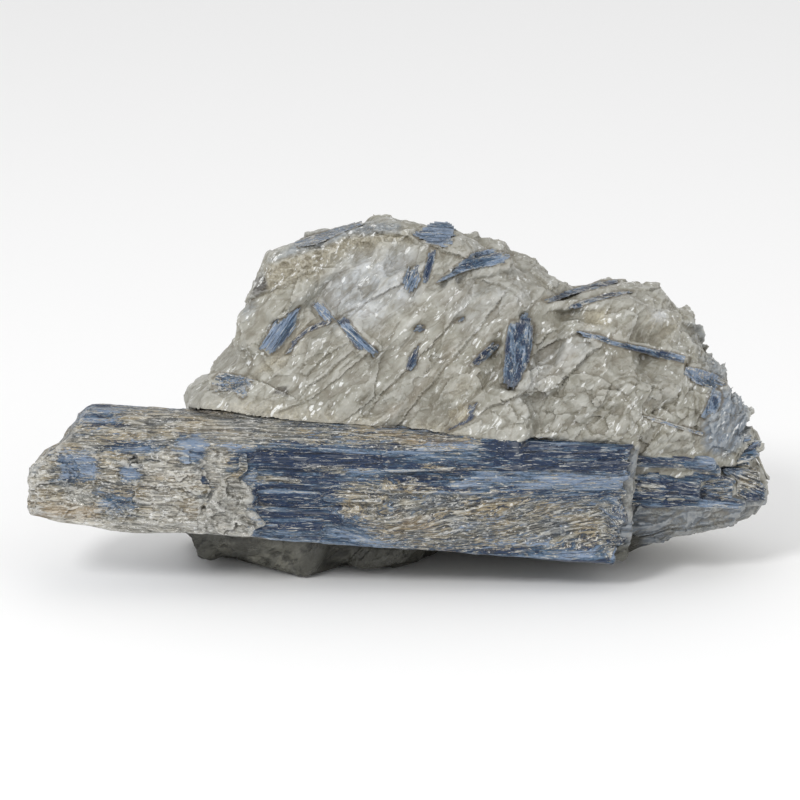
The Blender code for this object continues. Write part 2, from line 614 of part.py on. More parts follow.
def main():
    clear_scene()
    group = new_collection("kyanite_blade_cluster")
    cutters = new_collection("cutters")
    quartz = quartz_matrix(group)
    quartz_tree = BVHTree.FromObject(quartz, bpy.context.evaluated_depsgraph_get())

    add_object("main_blade", main_blade_mesh("main_blade", 0), group, KYANITE)
    main_cutter = add_object("main_blade_pocket", main_blade_mesh("main_blade_pocket", GAP), cutters)

    crust = mica_sheet("mica_crust", CRUST_OUTLINE, BLADE_FRONT - 1.5, 0.5, 31, MICA, group)
    plates = mica_sheet("mica_plates", PLATES_OUTLINE, BLADE_FRONT - 2.6, 0.8, 33, SILVER_MICA, group)
    carve(crust, [main_cutter])
    carve(plates, [main_cutter])

    pockets = [main_cutter]
    made = {"right_blade": (lambda grow: slanted_laths(RIGHT_LATHS, (0.05, -1, 0.1), grow), KYANITE),
            "right_end_blade": (lambda grow: slanted_laths(END_LATHS, (0.2, -1, 0.1), grow), KYANITE),
            "spur_blades": (lambda grow: slanted_laths(SPUR_LATHS, (0.3, -1, 0.5), grow), PALE_KYANITE),
            "crest_blade": (crest_fan_laths, KYANITE)}
    for name, spec in FACE_BLADES.items():
        made[name] = (lambda grow, spec=spec: set_blade_laths(quartz_tree, spec, False, grow), KYANITE)
    for name, spec in BACK_BLADES.items():
        made[name] = (lambda grow, spec=spec: set_blade_laths(quartz_tree, spec, True, grow), KYANITE)
    for name, (laths, look) in made.items():
        blade = joined(name, laths(0), group, look)
        carve(blade, pockets)
        pockets.append(joined(name + "_pocket", laths(GAP), cutters))
    # The EXACT solver leaves some of the small pockets uncut in the quartz.
    carve(quartz, pockets, "MANIFOLD")

    for cutter in cutters.objects:
        cutter.hide_render = True
        cutter.display_type = "WIRE"
    centre_on_floor(group)


main()
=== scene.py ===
"""Kyanite blade cluster: its broken quartz, its kyanite lamellae and its mica, built over the CAD frame.

Shapes are worked out in millimetres and written to the meshes in metres. Places named (right, up) lie on the
upright plane through the middle of the cluster that faces the camera, in millimetres.
"""
import math

import bmesh
import bpy
import numpy as np
from bpy.props import FloatProperty, FloatVectorProperty, IntProperty, PointerProperty
from mathutils import Matrix, Vector
from mathutils.bvhtree import BVHTree


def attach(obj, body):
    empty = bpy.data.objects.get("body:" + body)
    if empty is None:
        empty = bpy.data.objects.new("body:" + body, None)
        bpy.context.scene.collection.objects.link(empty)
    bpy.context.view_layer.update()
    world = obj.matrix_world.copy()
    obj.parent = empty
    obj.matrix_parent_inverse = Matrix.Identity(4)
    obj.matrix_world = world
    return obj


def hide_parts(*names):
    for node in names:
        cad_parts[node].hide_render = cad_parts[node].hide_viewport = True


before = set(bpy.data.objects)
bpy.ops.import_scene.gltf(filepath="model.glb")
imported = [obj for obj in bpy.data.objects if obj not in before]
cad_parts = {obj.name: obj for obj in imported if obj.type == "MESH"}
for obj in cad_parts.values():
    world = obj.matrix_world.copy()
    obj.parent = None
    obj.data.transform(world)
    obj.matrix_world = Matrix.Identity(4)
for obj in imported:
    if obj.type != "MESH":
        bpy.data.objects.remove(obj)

bl_info = {
    "name": "Kyanite Blade Cluster",
    "version": (1, 0, 0),
    "blender": (4, 5, 0),
    "location": "View3D > Sidebar > Cluster",
    "description": "Dresses a kyanite and quartz cluster with broken stone, splintered blades and mica",
    "category": "Object",
}

MM = 0.001
TABLE = 4096                   # size of the tables that random numbers are looked up in
NO_TURN = np.eye(3)
GRAIN_ANGLE = 42.0             # the quartz breaks along slabs that climb to the right, degrees
STEEP_ANGLE = 56.0             # its glints and finest facets climb like this
SPLINTER_ANGLE = 62.0          # and so do the splinters of its ragged right side
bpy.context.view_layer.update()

# The camera, and the plane that the named places lie on.
CAMERA_ELEVATION = math.radians(15)
CAMERA_DISTANCE = 800.0
CAMERA_TARGET = np.array((-0.3, -0.9, 45.2))
CAMERA_LENS = 134.3            # millimetres, on a sensor 36 mm wide
SIGHT = np.array((0, math.cos(CAMERA_ELEVATION), -math.sin(CAMERA_ELEVATION)))
SIGHT_UP = np.array((0, math.sin(CAMERA_ELEVATION), math.cos(CAMERA_ELEVATION)))
EYE = CAMERA_TARGET - CAMERA_DISTANCE * SIGHT

# Quartz: how it has broken, as (size along the grain, through, across), lift, tilt and seed.
FACES = ((20, 12, 11), 0.15, (0.04, 0.04, 0.05), 10)
SLAB_CHIPS = ((13, 9, 4.2), 0.08, (0.02, 0.03, 0.075), 11)
CHIPS = ((6.5, 4, 1.8), 0.05, (0.03, 0.03, 0.08), 12)
GRAINS = ((2.6, 1.6, 0.9), 0.02, (0.04, 0.04, 0.06), 13)
KNOBS = ((5, 9, 4), 1.0, (0.25, 0.2, 0.35), 24)
KNOB_ANGLE = -20.0             # those flats at the right rim slope down to the right, degrees
COBBLE_SIZE = (3.4, 3.2, 3.0)
BEHIND_BLADE = -8.0            # the quartz in front of this, seen at the main blade, is hidden, mm
QUARTZ_PULL = 6.0              # the most that the quartz is pulled back inside its outline, mm
LIP_ABOVE = 1.0                # how far above the blade the depth of the quartz's lip is taken, mm
LIP_SUNK = 0.5                 # how far behind that lip the blade meets the quartz, mm
LIP_SAMPLES = 240
LIP_BLUR = 5                   # the lip's depth is levelled over this many samples to each side
LIP_MOST = 9.0                 # the most that the blade is brought forward to the lip, mm
LIP_FULL = 0.5                 # this near the lip the blade comes forward all the way, mm
LIP_REACH = 2.6                # over about this distance more that fades, mm
LIP_ENDS = 5.0                 # and over this length at each end of the lip, mm
LIP_BACK = 2.0                 # the blade behind this stays where it is, mm
BLADE_BED = 1.2                # how deep in the main blade the quartz behind it lies, mm
FOOT_TOP, FOOT_RIGHT, FOOT_BACK = 15.0, 66.0, 18.0    # where the lowest part ends, painted darker for its smoky stone and for the shade under the blade, mm
MELTING = 12                   # rounds of smoothing before the quartz is broken up
RIM_GAP = 0.45                 # width of the painted shade line round a set blade, mm
HOLLOW = 0.12                  # depth at which a hollow counts as a full one, mm

# The solids that fill the seats cut for them in the quartz, moved into it this far (right, back, up), mm.
SEAT = (0, 1.3, -0.4)
RIGHT_SEATS = {"spur_blades": (0, 0.9, -0.3), "right_end_blade": (0, 1.0, -1.0)}
RIGHT_BLADE_STEPS = (0.3, 2.5, 5.0, 7.5)    # the right blade fills its seat from each of these depths down
MAIN_SEAT = (17.9, 2.8, -1.4)
MAIN_SEAT_RISE = 0.035         # and the main blade is slanted up to the right by this much
MAIN_SEAT_LENGTH = 0.72        # and has this share of its length

# Ledges in the quartz: line of (right, up), height of the side to the left of the line, how far it fades.
LEDGES = [
    ([(-39.9, 26.8), (-33.5, 30.0), (-25.2, 33.8)], 0.9, 5.0),
    ([(16.9, 38.3), (7.8, 41.3), (1.6, 43.7), (-5.1, 45.3)], -1.2, 4.5),
    ([(-23.3, 4.3), (-20.4, 6.4), (-17.2, 9.4), (-15.0, 11.3)], 0.9, 3.5),
    ([(26.8, -1.1), (33.2, 1.9), (39.9, 2.7), (44.5, 6.4), (50.9, 12.1)], 1.7, 6.0),
    ([(32.2, 10.2), (39.7, 14.7), (48.0, 18.2), (53.6, 16.6)], 0.9, 4.0),
    ([(-18.8, 21.4), (-10.7, 25.2), (-2.1, 30.0), (5.4, 33.2)], 0.8, 4.0),
    ([(-30.6, 12.9), (-26.8, 16.6), (-23.6, 19.8), (-18.2, 21.7)], -0.9, 4.0),
    ([(-13.4, -8.0), (-4.0, 2.1), (5.4, 11.8), (13.4, 20.9)], 0.8, 4.0),
    ([(-1.3, -7.5), (8.0, 4.0), (18.8, 16.1), (26.8, 26.8)], 0.9, 4.0),
    ([(10.7, -8.6), (18.8, -0.5), (26.8, 8.0)], -0.8, 3.0),
    ([(-33.5, -4.0), (-24.1, 0.0), (-14.7, 7.5), (-7.5, 13.4)], 0.6, 3.0),
    ([(-44.0, 7.0), (-37.0, 5.1), (-30.3, 1.6)], -0.9, 3.0)]

# Regions of the quartz that have broken in their own way: outline of (right, up).
SMOOTH_PLANES = [
    [(-20.9, 20.9), (-19.8, 31.1), (-13.4, 38.1), (1.1, 40.2), (5.4, 37.0), (3.2, 26.3), (-5.4, 21.4),
     (-13.4, 18.2)],
    [(-42.1, 23.6), (-35.4, 27.3), (-26.8, 26.8), (-33.2, 14.7), (-40.7, 13.4)]]
RAGGED_SIDE = [
    (77.7, 13.4), (83.6, 13.4), (89.8, 6.7), (94.3, 0.0), (94.3, -10.7), (92.5, -16.6), (84.7, -13.9),
    (81.5, -8.0), (83.6, -1.3), (77.7, 7.5)]
COBBLED = [
    (23.6, -10.2), (26.8, -2.1), (39.7, 0.5), (46.9, 4.0), (56.3, 6.7), (67.0, 5.9), (80.4, 0.0),
    (83.6, -10.7), (69.7, -13.9), (42.9, -12.1)]
KNOBBED = [
    (64.3, 34.8), (80.4, 29.5), (104.5, 5.4), (104.5, -13.4), (91.7, -16.6), (90.0, -2.7), (82.0, 10.2),
    (75.0, 22.0), (64.3, 28.4)]
ROUGH_RIM = [
    (-40.7, 26.3), (-37.0, 34.8), (-26.8, 42.9), (-13.4, 47.7), (0.5, 47.7), (3.2, 44.0), (-7.5, 41.8),
    (-18.8, 38.1), (-23.6, 33.2), (-32.2, 30.0)]

# Coloured patches of the quartz, each an outline of (right, up), its strength and how soft its edge is.
TAN_PATCHES = [
    ([(-40.7, 26.3), (-37.0, 34.8), (-26.8, 42.3), (-13.4, 46.1), (0.5, 46.1), (3.2, 43.4), (-7.5, 41.3),
     (-18.8, 37.5), (-22.0, 33.2), (-26.8, 31.6), (-32.2, 30.0)], 0.85, 2.5),
    ([(-59.0, -10.7), (-56.8, -2.1), (-40.2, 0.0), (-18.8, -4.3), (10.7, -7.0), (21.4, -9.6), (18.8, -12.9),
     (-26.8, -10.7)], 0.75, 2.5),
    ([(13.9, -6.4), (13.4, -3.2), (16.1, -1.3), (19.3, -1.6), (18.8, -5.4), (15.5, -7.5)], 1.0, 1.0),
    ([(-38.9, 7.5), (-33.5, 12.9), (-29.5, 16.6), (-24.7, 20.9), (-22.0, 20.9), (-26.8, 14.7), (-32.2, 7.5)],
     0.6, 1.5),
    ([(49.8, 24.1), (55.5, 23.6), (56.0, 19.8), (50.4, 20.1)], 1.4, 1.5),
    ([(64.3, 18.8), (67.0, 25.2), (75.0, 23.6), (76.1, 18.8), (70.8, 15.5)], 0.5, 3.0),
    ([(10.7, 2.1), (16.6, 7.5), (24.7, 7.5), (21.4, 2.1), (13.9, -0.5)], 0.35, 3.0)]
BROWN_PATCHES = [
    ([(-4.3, -4.8), (-3.2, -1.1), (1.1, -0.5), (0.0, -4.3)], 0.9, 0.8),
    ([(10.7, 10.2), (12.3, 14.5), (15.0, 14.5), (13.4, 9.6)], 0.8, 0.8),
    ([(1.1, -1.1), (4.8, 4.3), (9.1, 9.1), (10.7, 8.0), (6.4, 2.1), (2.7, -2.1)], 0.6, 1.2),
    ([(36.4, 4.3), (39.7, 10.2), (44.5, 13.4), (46.6, 11.8), (42.9, 7.0)], 0.5, 2.0),
    ([(53.6, 16.1), (59.0, 18.2), (64.3, 14.7), (59.5, 10.2)], 0.35, 2.5),
    ([(10.7, 26.8), (16.6, 31.1), (19.8, 30.6), (15.0, 25.2)], 0.5, 2.0)]
BLUE_PATCHES = [
    ([(-35.4, 37.0), (-26.8, 43.4), (-13.4, 47.7), (0.0, 47.7), (0.5, 45.0), (-13.4, 44.0), (-24.1, 39.7)],
     0.7, 1.2),
    ([(-43.4, 21.4), (-40.2, 27.9), (-37.0, 35.4), (-35.4, 34.3), (-38.1, 26.8), (-41.3, 20.4)], 0.4, 1.0),
    ([(-18.8, 20.9), (-19.3, 29.5), (-13.4, 37.0), (0.0, 39.7), (2.7, 29.5), (-7.5, 22.0)], 0.22, 4.0),
    ([(77.2, 20.9), (82.0, 22.0), (83.6, 16.1), (80.4, 13.9), (77.7, 17.2)], 0.5, 2.0),
    ([(80.4, 11.8), (86.3, 12.9), (89.0, 7.5), (85.8, 3.2), (82.0, 8.0)], 0.6, 2.0),
    ([(82.0, -13.4), (80.9, -8.0), (82.0, -2.1), (83.6, 3.2), (89.5, 3.8), (93.3, 0.0), (93.8, -6.4),
     (91.7, -12.3), (86.8, -15.0)], 0.95, 1.5)]
SCHIST_PATCHES = [
    ([(50.9, -45.6), (53.6, -12.3), (64.3, -12.3), (65.4, -26.8), (80.4, -28.1), (99.2, -24.1),
     (101.8, -30.8), (80.4, -40.2), (64.3, -42.9)], 1.0, 1.5)]
DARK_PATCHES = [
    ([(-40.2, 27.9), (-39.1, 32.7), (-35.9, 33.2), (-35.4, 29.5), (-38.1, 27.3)], 0.75, 1.0),
    ([(-33.8, 1.6), (-33.2, 3.8), (-30.0, 3.2), (-30.0, 1.1)], 0.9, 0.8),
    ([(68.3, 1.3), (69.1, 2.9), (71.8, 2.9), (71.6, 1.3)], 0.5, 1.0),
    # The last patch is a painted shadow that the centre blade casts on its left side.
    ([(26.8, 3.2), (27.3, 11.3), (29.5, 12.9), (29.5, 2.7)], 0.55, 1.5)]
MILK_PATCHES = [
    ([(-19.8, 20.9), (-20.4, 30.6), (-13.9, 38.1), (0.5, 40.7), (5.4, 37.0), (3.2, 26.3), (-5.4, 21.4),
     (-13.4, 18.8)], 0.75, 3.0),
    ([(32.2, 0.0), (34.3, 9.1), (42.9, 16.1), (50.9, 17.2), (50.4, 12.9), (44.5, 7.5), (39.1, 3.2)], 0.45,
     3.0),
    ([(10.7, 26.8), (21.4, 34.8), (32.2, 32.2), (37.5, 26.8), (26.8, 24.1), (18.8, 18.8)], 0.35, 4.0),
    ([(67.3, 20.9), (67.5, 24.1), (71.3, 24.1), (71.3, 20.9)], 1.4, 1.0),
    ([(-37.0, -45.8), (-40.2, -41.8), (-35.4, -39.1), (-25.7, -39.7), (-27.3, -43.4), (-31.1, -44.5),
     (-34.8, -46.1)], 2.4, 2.0),
    ([(-52.3, -40.7), (-51.5, -38.9), (-45.0, -38.6), (-45.6, -40.7)], 1.0, 1.5)]

QUARTZ_PATCHES = {"tan": TAN_PATCHES, "brown": BROWN_PATCHES, "blue": BLUE_PATCHES, "dark": DARK_PATCHES,
                  "milk": MILK_PATCHES, "schist": SCHIST_PATCHES}

# Kyanite: where mica clings to it, where it is stained, deep or pale, and the blue left bare in the crust.
MICA_FIELDS = [
    ([(-101.8, -34.8), (-101.3, -14.7), (-91.1, -8.0), (-67.0, -12.9), (-46.1, -12.3), (-41.3, -18.8),
     (-40.2, -26.8), (-42.9, -38.9), (-77.7, -37.5)], 1.3, 3.0),
    ([(-93.8, -10.7), (-86.3, -2.1), (-69.7, 0.0), (-37.5, -1.3), (-18.8, -10.7), (-42.9, -13.4),
     (-67.0, -13.4)], 0.95, 3.0),
    ([(-40.2, -1.1), (22.5, -9.4), (21.4, -12.3), (0.0, -12.9), (-18.8, -12.3), (-40.2, -12.3)], 0.72, 2.0),
    ([(-39.7, -22.0), (-39.4, -20.1), (-26.8, -20.9), (-26.8, -22.2)], 0.9, 0.6),
    ([(-1.1, -40.7), (-10.2, -34.8), (-15.0, -30.0), (-18.8, -25.2), (-12.9, -21.7), (0.0, -20.6),
     (10.7, -23.6), (18.8, -25.2), (37.5, -25.5), (57.6, -26.5), (57.9, -38.9), (18.8, -40.2)], 0.82, 4.0),
    ([(-26.8, -18.8), (-18.8, -16.1), (-12.9, -17.7), (-14.5, -20.9)], 0.6, 1.5),
    ([(-16.1, -13.9), (21.4, -14.5), (21.4, -24.1), (-18.8, -24.1)], 0.22, 3.0),
    ([(21.4, -24.1), (21.4, -17.7), (60.6, -18.2), (60.6, -24.1)], 0.3, 2.0),
    ([(-39.7, -24.1), (-14.7, -23.0), (-14.7, -39.7), (-39.7, -38.1)], 0.16, 3.0),
    ([(-18.8, -11.8), (18.8, -11.3), (20.9, -13.4), (0.0, -14.5)], 0.55, 1.0),
    ([(5.4, -18.8), (6.7, -16.6), (26.8, -18.8), (26.8, -20.4)], 0.6, 1.0),
    ([(-40.2, -28.9), (-37.5, -26.3), (-33.5, -27.3), (-35.4, -30.0)], 0.6, 1.5),
    ([(60.0, -41.5), (60.0, -13.4), (64.6, -13.4), (64.6, -40.2)], 0.4, 1.5),
    ([(53.6, -42.9), (55.2, -24.1), (61.1, -21.4), (62.2, -43.4)], 0.5, 2.5),
    ([(63.2, -19.8), (64.3, -17.4), (80.4, -17.7), (92.5, -20.4), (93.3, -23.0), (80.4, -19.8)], 0.6, 1.0),
    ([(64.3, -24.4), (64.9, -22.5), (70.2, -22.5), (70.2, -24.4)], 0.85, 0.6),
    ([(80.4, -27.3), (80.9, -19.8), (93.3, -21.4), (93.3, -26.8)], 0.5, 2.0),
    ([(90.0, -24.7), (91.7, -17.7), (98.6, -17.2), (99.2, -23.3)], 0.85, 1.5),
    ([(77.7, -32.2), (78.3, -28.9), (93.8, -28.4), (93.8, -31.6)], 0.8, 1.5)]
STAIN_FIELDS = [
    ([(-97.0, -32.2), (-96.5, -27.9), (-81.5, -28.1), (-80.4, -31.9)], 0.85, 2.0),
    ([(-2.1, -35.4), (-1.1, -30.0), (9.1, -30.6), (8.6, -35.4)], 0.6, 2.5),
    ([(-67.0, -21.4), (-67.0, -19.8), (-49.6, -20.4), (-49.6, -22.0)], 0.5, 2.0),
    ([(-56.3, -10.7), (-53.6, -6.4), (-40.2, -6.4), (-37.0, -10.2)], 0.3, 3.0),
    ([(-59.0, -3.2), (-56.3, -0.5), (-37.5, -2.1), (-37.0, -4.3)], 0.6, 1.5),
    ([(-9.1, -8.0), (5.4, -9.1), (18.8, -10.2), (18.8, -12.3), (5.4, -12.3)], 0.6, 1.5)]
DEEP_FIELDS = [
    ([(-40.2, -20.9), (-40.2, -13.9), (-26.8, -13.4), (-14.7, -15.5), (-14.7, -20.4), (-26.8, -24.1)], 0.8,
     2.5),
    ([(-26.8, -17.7), (-14.7, -15.5), (21.4, -15.0), (21.4, -19.8), (0.0, -20.4)], 0.6, 2.5),
    ([(20.9, -18.8), (20.9, -11.0), (42.9, -12.1), (61.1, -13.4), (61.1, -18.2), (42.9, -19.3)], 1.15, 1.5),
    ([(-56.8, -5.9), (-56.3, -2.9), (-42.3, -3.8), (-42.3, -5.6)], 0.8, 1.2),
    ([(2.7, -23.0), (3.2, -18.8), (10.7, -19.3), (10.7, -22.5)], 0.8, 1.5),
    ([(-38.9, -37.5), (-38.9, -24.1), (-21.4, -24.7), (-17.4, -38.9)], 0.25, 4.0),
    ([(64.9, -16.9), (65.4, -13.4), (80.4, -14.7), (81.5, -17.2)], 0.5, 1.0),
    ([(63.8, -26.8), (64.9, -20.1), (79.3, -20.9), (79.6, -26.8)], 0.8, 1.2),
    ([(66.5, -32.4), (67.0, -28.9), (77.7, -28.9), (77.2, -31.9)], 0.7, 1.2),
    ([(60.0, -38.9), (60.6, -26.8), (63.8, -26.8), (63.8, -38.9)], 0.5, 1.5)]
PALE_FIELDS = [
    ([(34.8, -23.3), (37.5, -19.8), (50.9, -20.1), (60.6, -19.8), (61.1, -23.3), (45.6, -23.9)], 0.38, 1.5),
    ([(18.8, -20.9), (23.0, -15.5), (26.8, -16.6), (24.7, -22.5)], 0.7, 2.0),
    ([(79.6, -17.4), (80.4, -14.5), (84.7, -15.0), (85.2, -17.4)], 1.2, 0.8),
    ([(80.4, -30.0), (80.4, -26.8), (92.7, -26.8), (92.2, -29.5)], 0.6, 1.5),
    ([(-21.4, -37.5), (-18.8, -30.8), (-5.4, -32.2), (-2.7, -38.1)], 0.5, 3.0)]
BARE_FIELDS = [
    ([(-93.8, -23.0), (-93.3, -13.7), (-87.1, -12.6), (-80.4, -14.2), (-80.7, -22.5)], 0.85, 2.5),
    ([(-78.3, -16.3), (-77.7, -10.7), (-65.7, -11.0), (-65.9, -16.3)], 0.68, 2.5),
    ([(-82.0, -31.1), (-81.5, -23.0), (-69.1, -23.6), (-69.1, -31.1)], 0.78, 2.5),
    ([(-76.1, -23.0), (-75.6, -17.4), (-69.1, -17.7), (-69.7, -23.0)], 0.9, 1.5),
    ([(-59.0, -17.7), (-58.4, -9.9), (-52.5, -10.2), (-52.5, -17.7)], 0.9, 1.5),
    ([(-86.3, -7.0), (-85.2, -2.4), (-75.0, -2.4), (-75.0, -7.2)], 0.7, 2.0),
    ([(-47.2, -23.0), (-46.6, -12.6), (-40.7, -12.9), (-41.0, -23.0)], 0.6, 1.5),
    ([(-54.1, -28.4), (-53.6, -22.8), (-44.0, -23.0), (-44.5, -28.1)], 0.35, 2.0)]
BEVEL = [
    (-92.2, -12.3), (-86.3, -2.7), (-82.5, 0.0), (-40.2, -2.1), (22.5, -9.6), (21.4, -11.8), (-18.8, -13.1),
    (-42.9, -13.4)]
CRUSTED_END = [
    (-101.8, -34.8), (-101.8, -14.7), (-83.1, 0.0), (-59.0, -1.1), (-45.0, -13.4), (-38.1, -21.4),
    (-37.0, -37.5), (-67.0, -37.5)]
RAGGED_FOOT = [
    (56.8, -42.9), (57.4, -32.2), (75.0, -30.8), (91.7, -28.4), (96.5, -30.0), (80.4, -38.9), (67.0, -41.8)]
CONTACT = [
    (-57.9, -1.3), (-52.5, -2.1), (-44.2, -3.5), (-39.4, -4.3), (-27.9, -5.6), (-11.5, -6.7), (-3.2, -7.5),
    (5.1, -8.3), (13.1, -9.6), (21.4, -10.7), (61.1, -13.1)]
MAIN_BLADE_AREA = [
    (-99.2, -32.2), (-99.2, -16.1), (-82.5, -0.5), *CONTACT, (62.2, -37.5), (58.4, -43.4), (10.7, -40.2),
    (-63.0, -35.9)]
CRUST_TOP = [
    (-98.6, -31.1), (-99.2, -19.8), (-95.4, -16.1), (-88.4, -13.4), (-64.3, -13.7), (-49.8, -14.7),
    (-47.7, -21.4), (-51.5, -28.1), (-52.0, -34.8), (-64.3, -34.8), (-83.1, -32.7)]
QUARTZ_OUTLINE = [
    (-107.2, 107.2), (-107.2, -34.8), (-55.7, -34.8), (-55.2, -39.1), (-53.6, -41.5), (-50.9, -42.3),
    (-47.7, -41.8), (-43.4, -41.8), (-41.3, -45.0), (-34.8, -45.8), (-31.6, -46.4), (-28.4, -48.0),
    (-25.2, -48.2), (-18.8, -47.7), (-15.5, -45.8), (-12.3, -45.3), (-5.9, -45.6), (0.0, -45.0), (3.8, -44.5),
    (7.0, -43.7), (8.0, -41.8), (12.3, -41.0), (14.5, -39.1), (52.5, -41.3), (55.2, -44.5), (58.4, -44.8),
    (61.4, -40.7), (67.0, -39.4), (71.8, -37.0), (79.9, -35.4), (87.4, -33.2), (93.0, -32.2), (97.6, -29.7),
    (100.0, -27.1), (100.5, -23.6), (98.6, -20.9), (107.2, -18.8), (107.2, 107.2), (-107.2, 107.2)]
SILVER_FIELDS = [
    ([(-52.5, -37.0), (-52.0, -26.8), (-47.7, -22.5), (-38.1, -22.5), (-34.8, -33.2), (-38.1, -37.0)], 1.0,
     1.5),
    ([(-77.2, -37.0), (-76.6, -31.6), (-50.9, -32.2), (-50.9, -37.0)], 0.8, 2.0),
    ([(-88.4, -28.4), (-88.2, -24.7), (-82.3, -24.7), (-82.3, -28.4)], 1.0, 1.0),
    ([(-54.7, -18.8), (-53.6, -12.9), (-47.7, -13.4), (-47.2, -20.4), (-50.9, -21.4)], 0.6, 2.0),
    ([(-84.7, -3.2), (-83.1, -0.5), (-77.7, -1.6), (-79.3, -4.3)], 0.6, 1.5)]
LEFT_END = [
    (-26.8, 5.4), (-59.0, 0.0), (-77.2, -0.8), (-82.5, -1.1), (-84.7, -2.1), (-86.3, -3.5), (-86.8, -5.4),
    (-89.0, -7.5), (-90.0, -9.1), (-90.6, -11.0), (-93.3, -12.3), (-95.9, -13.7), (-97.8, -15.5),
    (-99.2, -17.7), (-99.7, -20.9), (-99.4, -24.7), (-100.0, -26.8), (-99.4, -30.3), (-98.1, -31.9),
    (-94.9, -32.4), (-89.5, -33.0), (-83.1, -33.8), (-76.1, -35.4), (-67.0, -36.2), (-61.6, -35.9),
    (-26.8, -42.9)]
SCHIST = [
    (-14.7, -32.2), (0.0, -24.7), (18.8, -24.1), (37.5, -25.2), (57.9, -26.0), (57.9, -39.1), (18.8, -39.9),
    (-5.4, -37.5)]

# Mica: how the crust, the silver plates and the scales on both are crumpled, in flats like the quartz's.
MICA_SEED = 41
CRUMPLE = ((6.5, 2.5, 3.2), 0.12, (0.10, 0.10, 0.13), MICA_SEED)
SCALES = ((3.2, 1.5, 1.4), 0.04, (0.06, 0.06, 0.09), MICA_SEED + 1)
PLATE_CRUMPLE = ((5.0, 4.0, 3.6), 0.16, (0.34, 0.2, 0.36), MICA_SEED + 2)
CRUST_FLATS = ((6, 2.5, 3), 0.08, (0.08, 0.08, 0.10), 90)
SHEET_ANGLE = -8.0             # the sheets slope down to the right, degrees
MICA_ANGLE = -3.0              # and so do the mica's own coordinates
MICA_VOXEL = 0.36              # size of the mica's even mesh, mm
PLATE_TIP = 19.9               # height of the point that the silver plates run out to on the right, mm
PLATE_OUTLINE = [
    (-59.0, -39.7), (-50.9, -38.1), (-38.9, -36.4), (-37.0, -35.1), (-35.9, -33.0), (-38.9, -29.7),
    (-39.9, -27.9), (-38.3, -26.0), (-38.3, -23.3), (-39.7, -21.7), (-40.5, -20.6), (-40.7, -17.7),
    (-40.2, -13.9), (-40.5, -10.7), (-59.0, -8.0)]
PLATE_PULL = 4.0               # the most that the plates are pulled back inside their outline, mm
MICA_SUNK = 0.6                # copies of the mica fill the main blade, moved this far into it, mm
MICA_BED = -30.6               # depth that the crust thins out to at its edge, mm
PLATE_EDGE = -41.0             # right of this the silver plates curl up, mm
RIDGE_FOOT = 32.5              # above this the silver plates narrow to one upright ridge, mm
RIDGE_MIDDLE = -41.6           # how far right of the middle that ridge stands, mm
RIDGE_LEFT = -44.0             # the ridge's left side, which the tip of the plates starts from, mm
RIDGE_NARROWING = (-45.5, 0.45)    # the ridge's own middle, and the share of its width that is left

# Loose plates strewn over a surface: their width, the smallest and largest share of it, how far they tilt.
PLATE_SIZE = 0.0005            # metres
SMALLEST_AND_LARGEST = (0.45, 1.0)
SPLINTERS = {"Plate_Length": 0.0013, "Tilt": 0.25, "Seed": 7}
SPUR_ANGLE = 24.0              # the needles of the spur climb to the right, degrees
NEEDLES = {"Plate_Length": 0.0028, "Tilt": 0.3, "Seed": 5}
FLAKE_DIRECTION = (1.0, 0.0, 0.05)
FLAKES = {"Plate_Length": 0.0017, "Tilt": 0.18, "Seed": 3}
LOOSE_FLAKES = {"mica_crust": 50000.0, "mica_plates": 15000.0}    # on a square metre
BUMP_HEIGHT = 0.0006           # height of the finest relief in the materials, metres

# The stage: its floor, and its lights' places, sizes and shares of the key light's power.
FLOOR_RADIUS = 6.0             # metres
LIGHTS = {"key": ((-0.7, -1.2, 1.1), 0.45, 1.0), "fill": ((1.1, -0.9, 0.8), 1.0, 0.25)}
LIT_PLACE = (0, 0, 0.05)

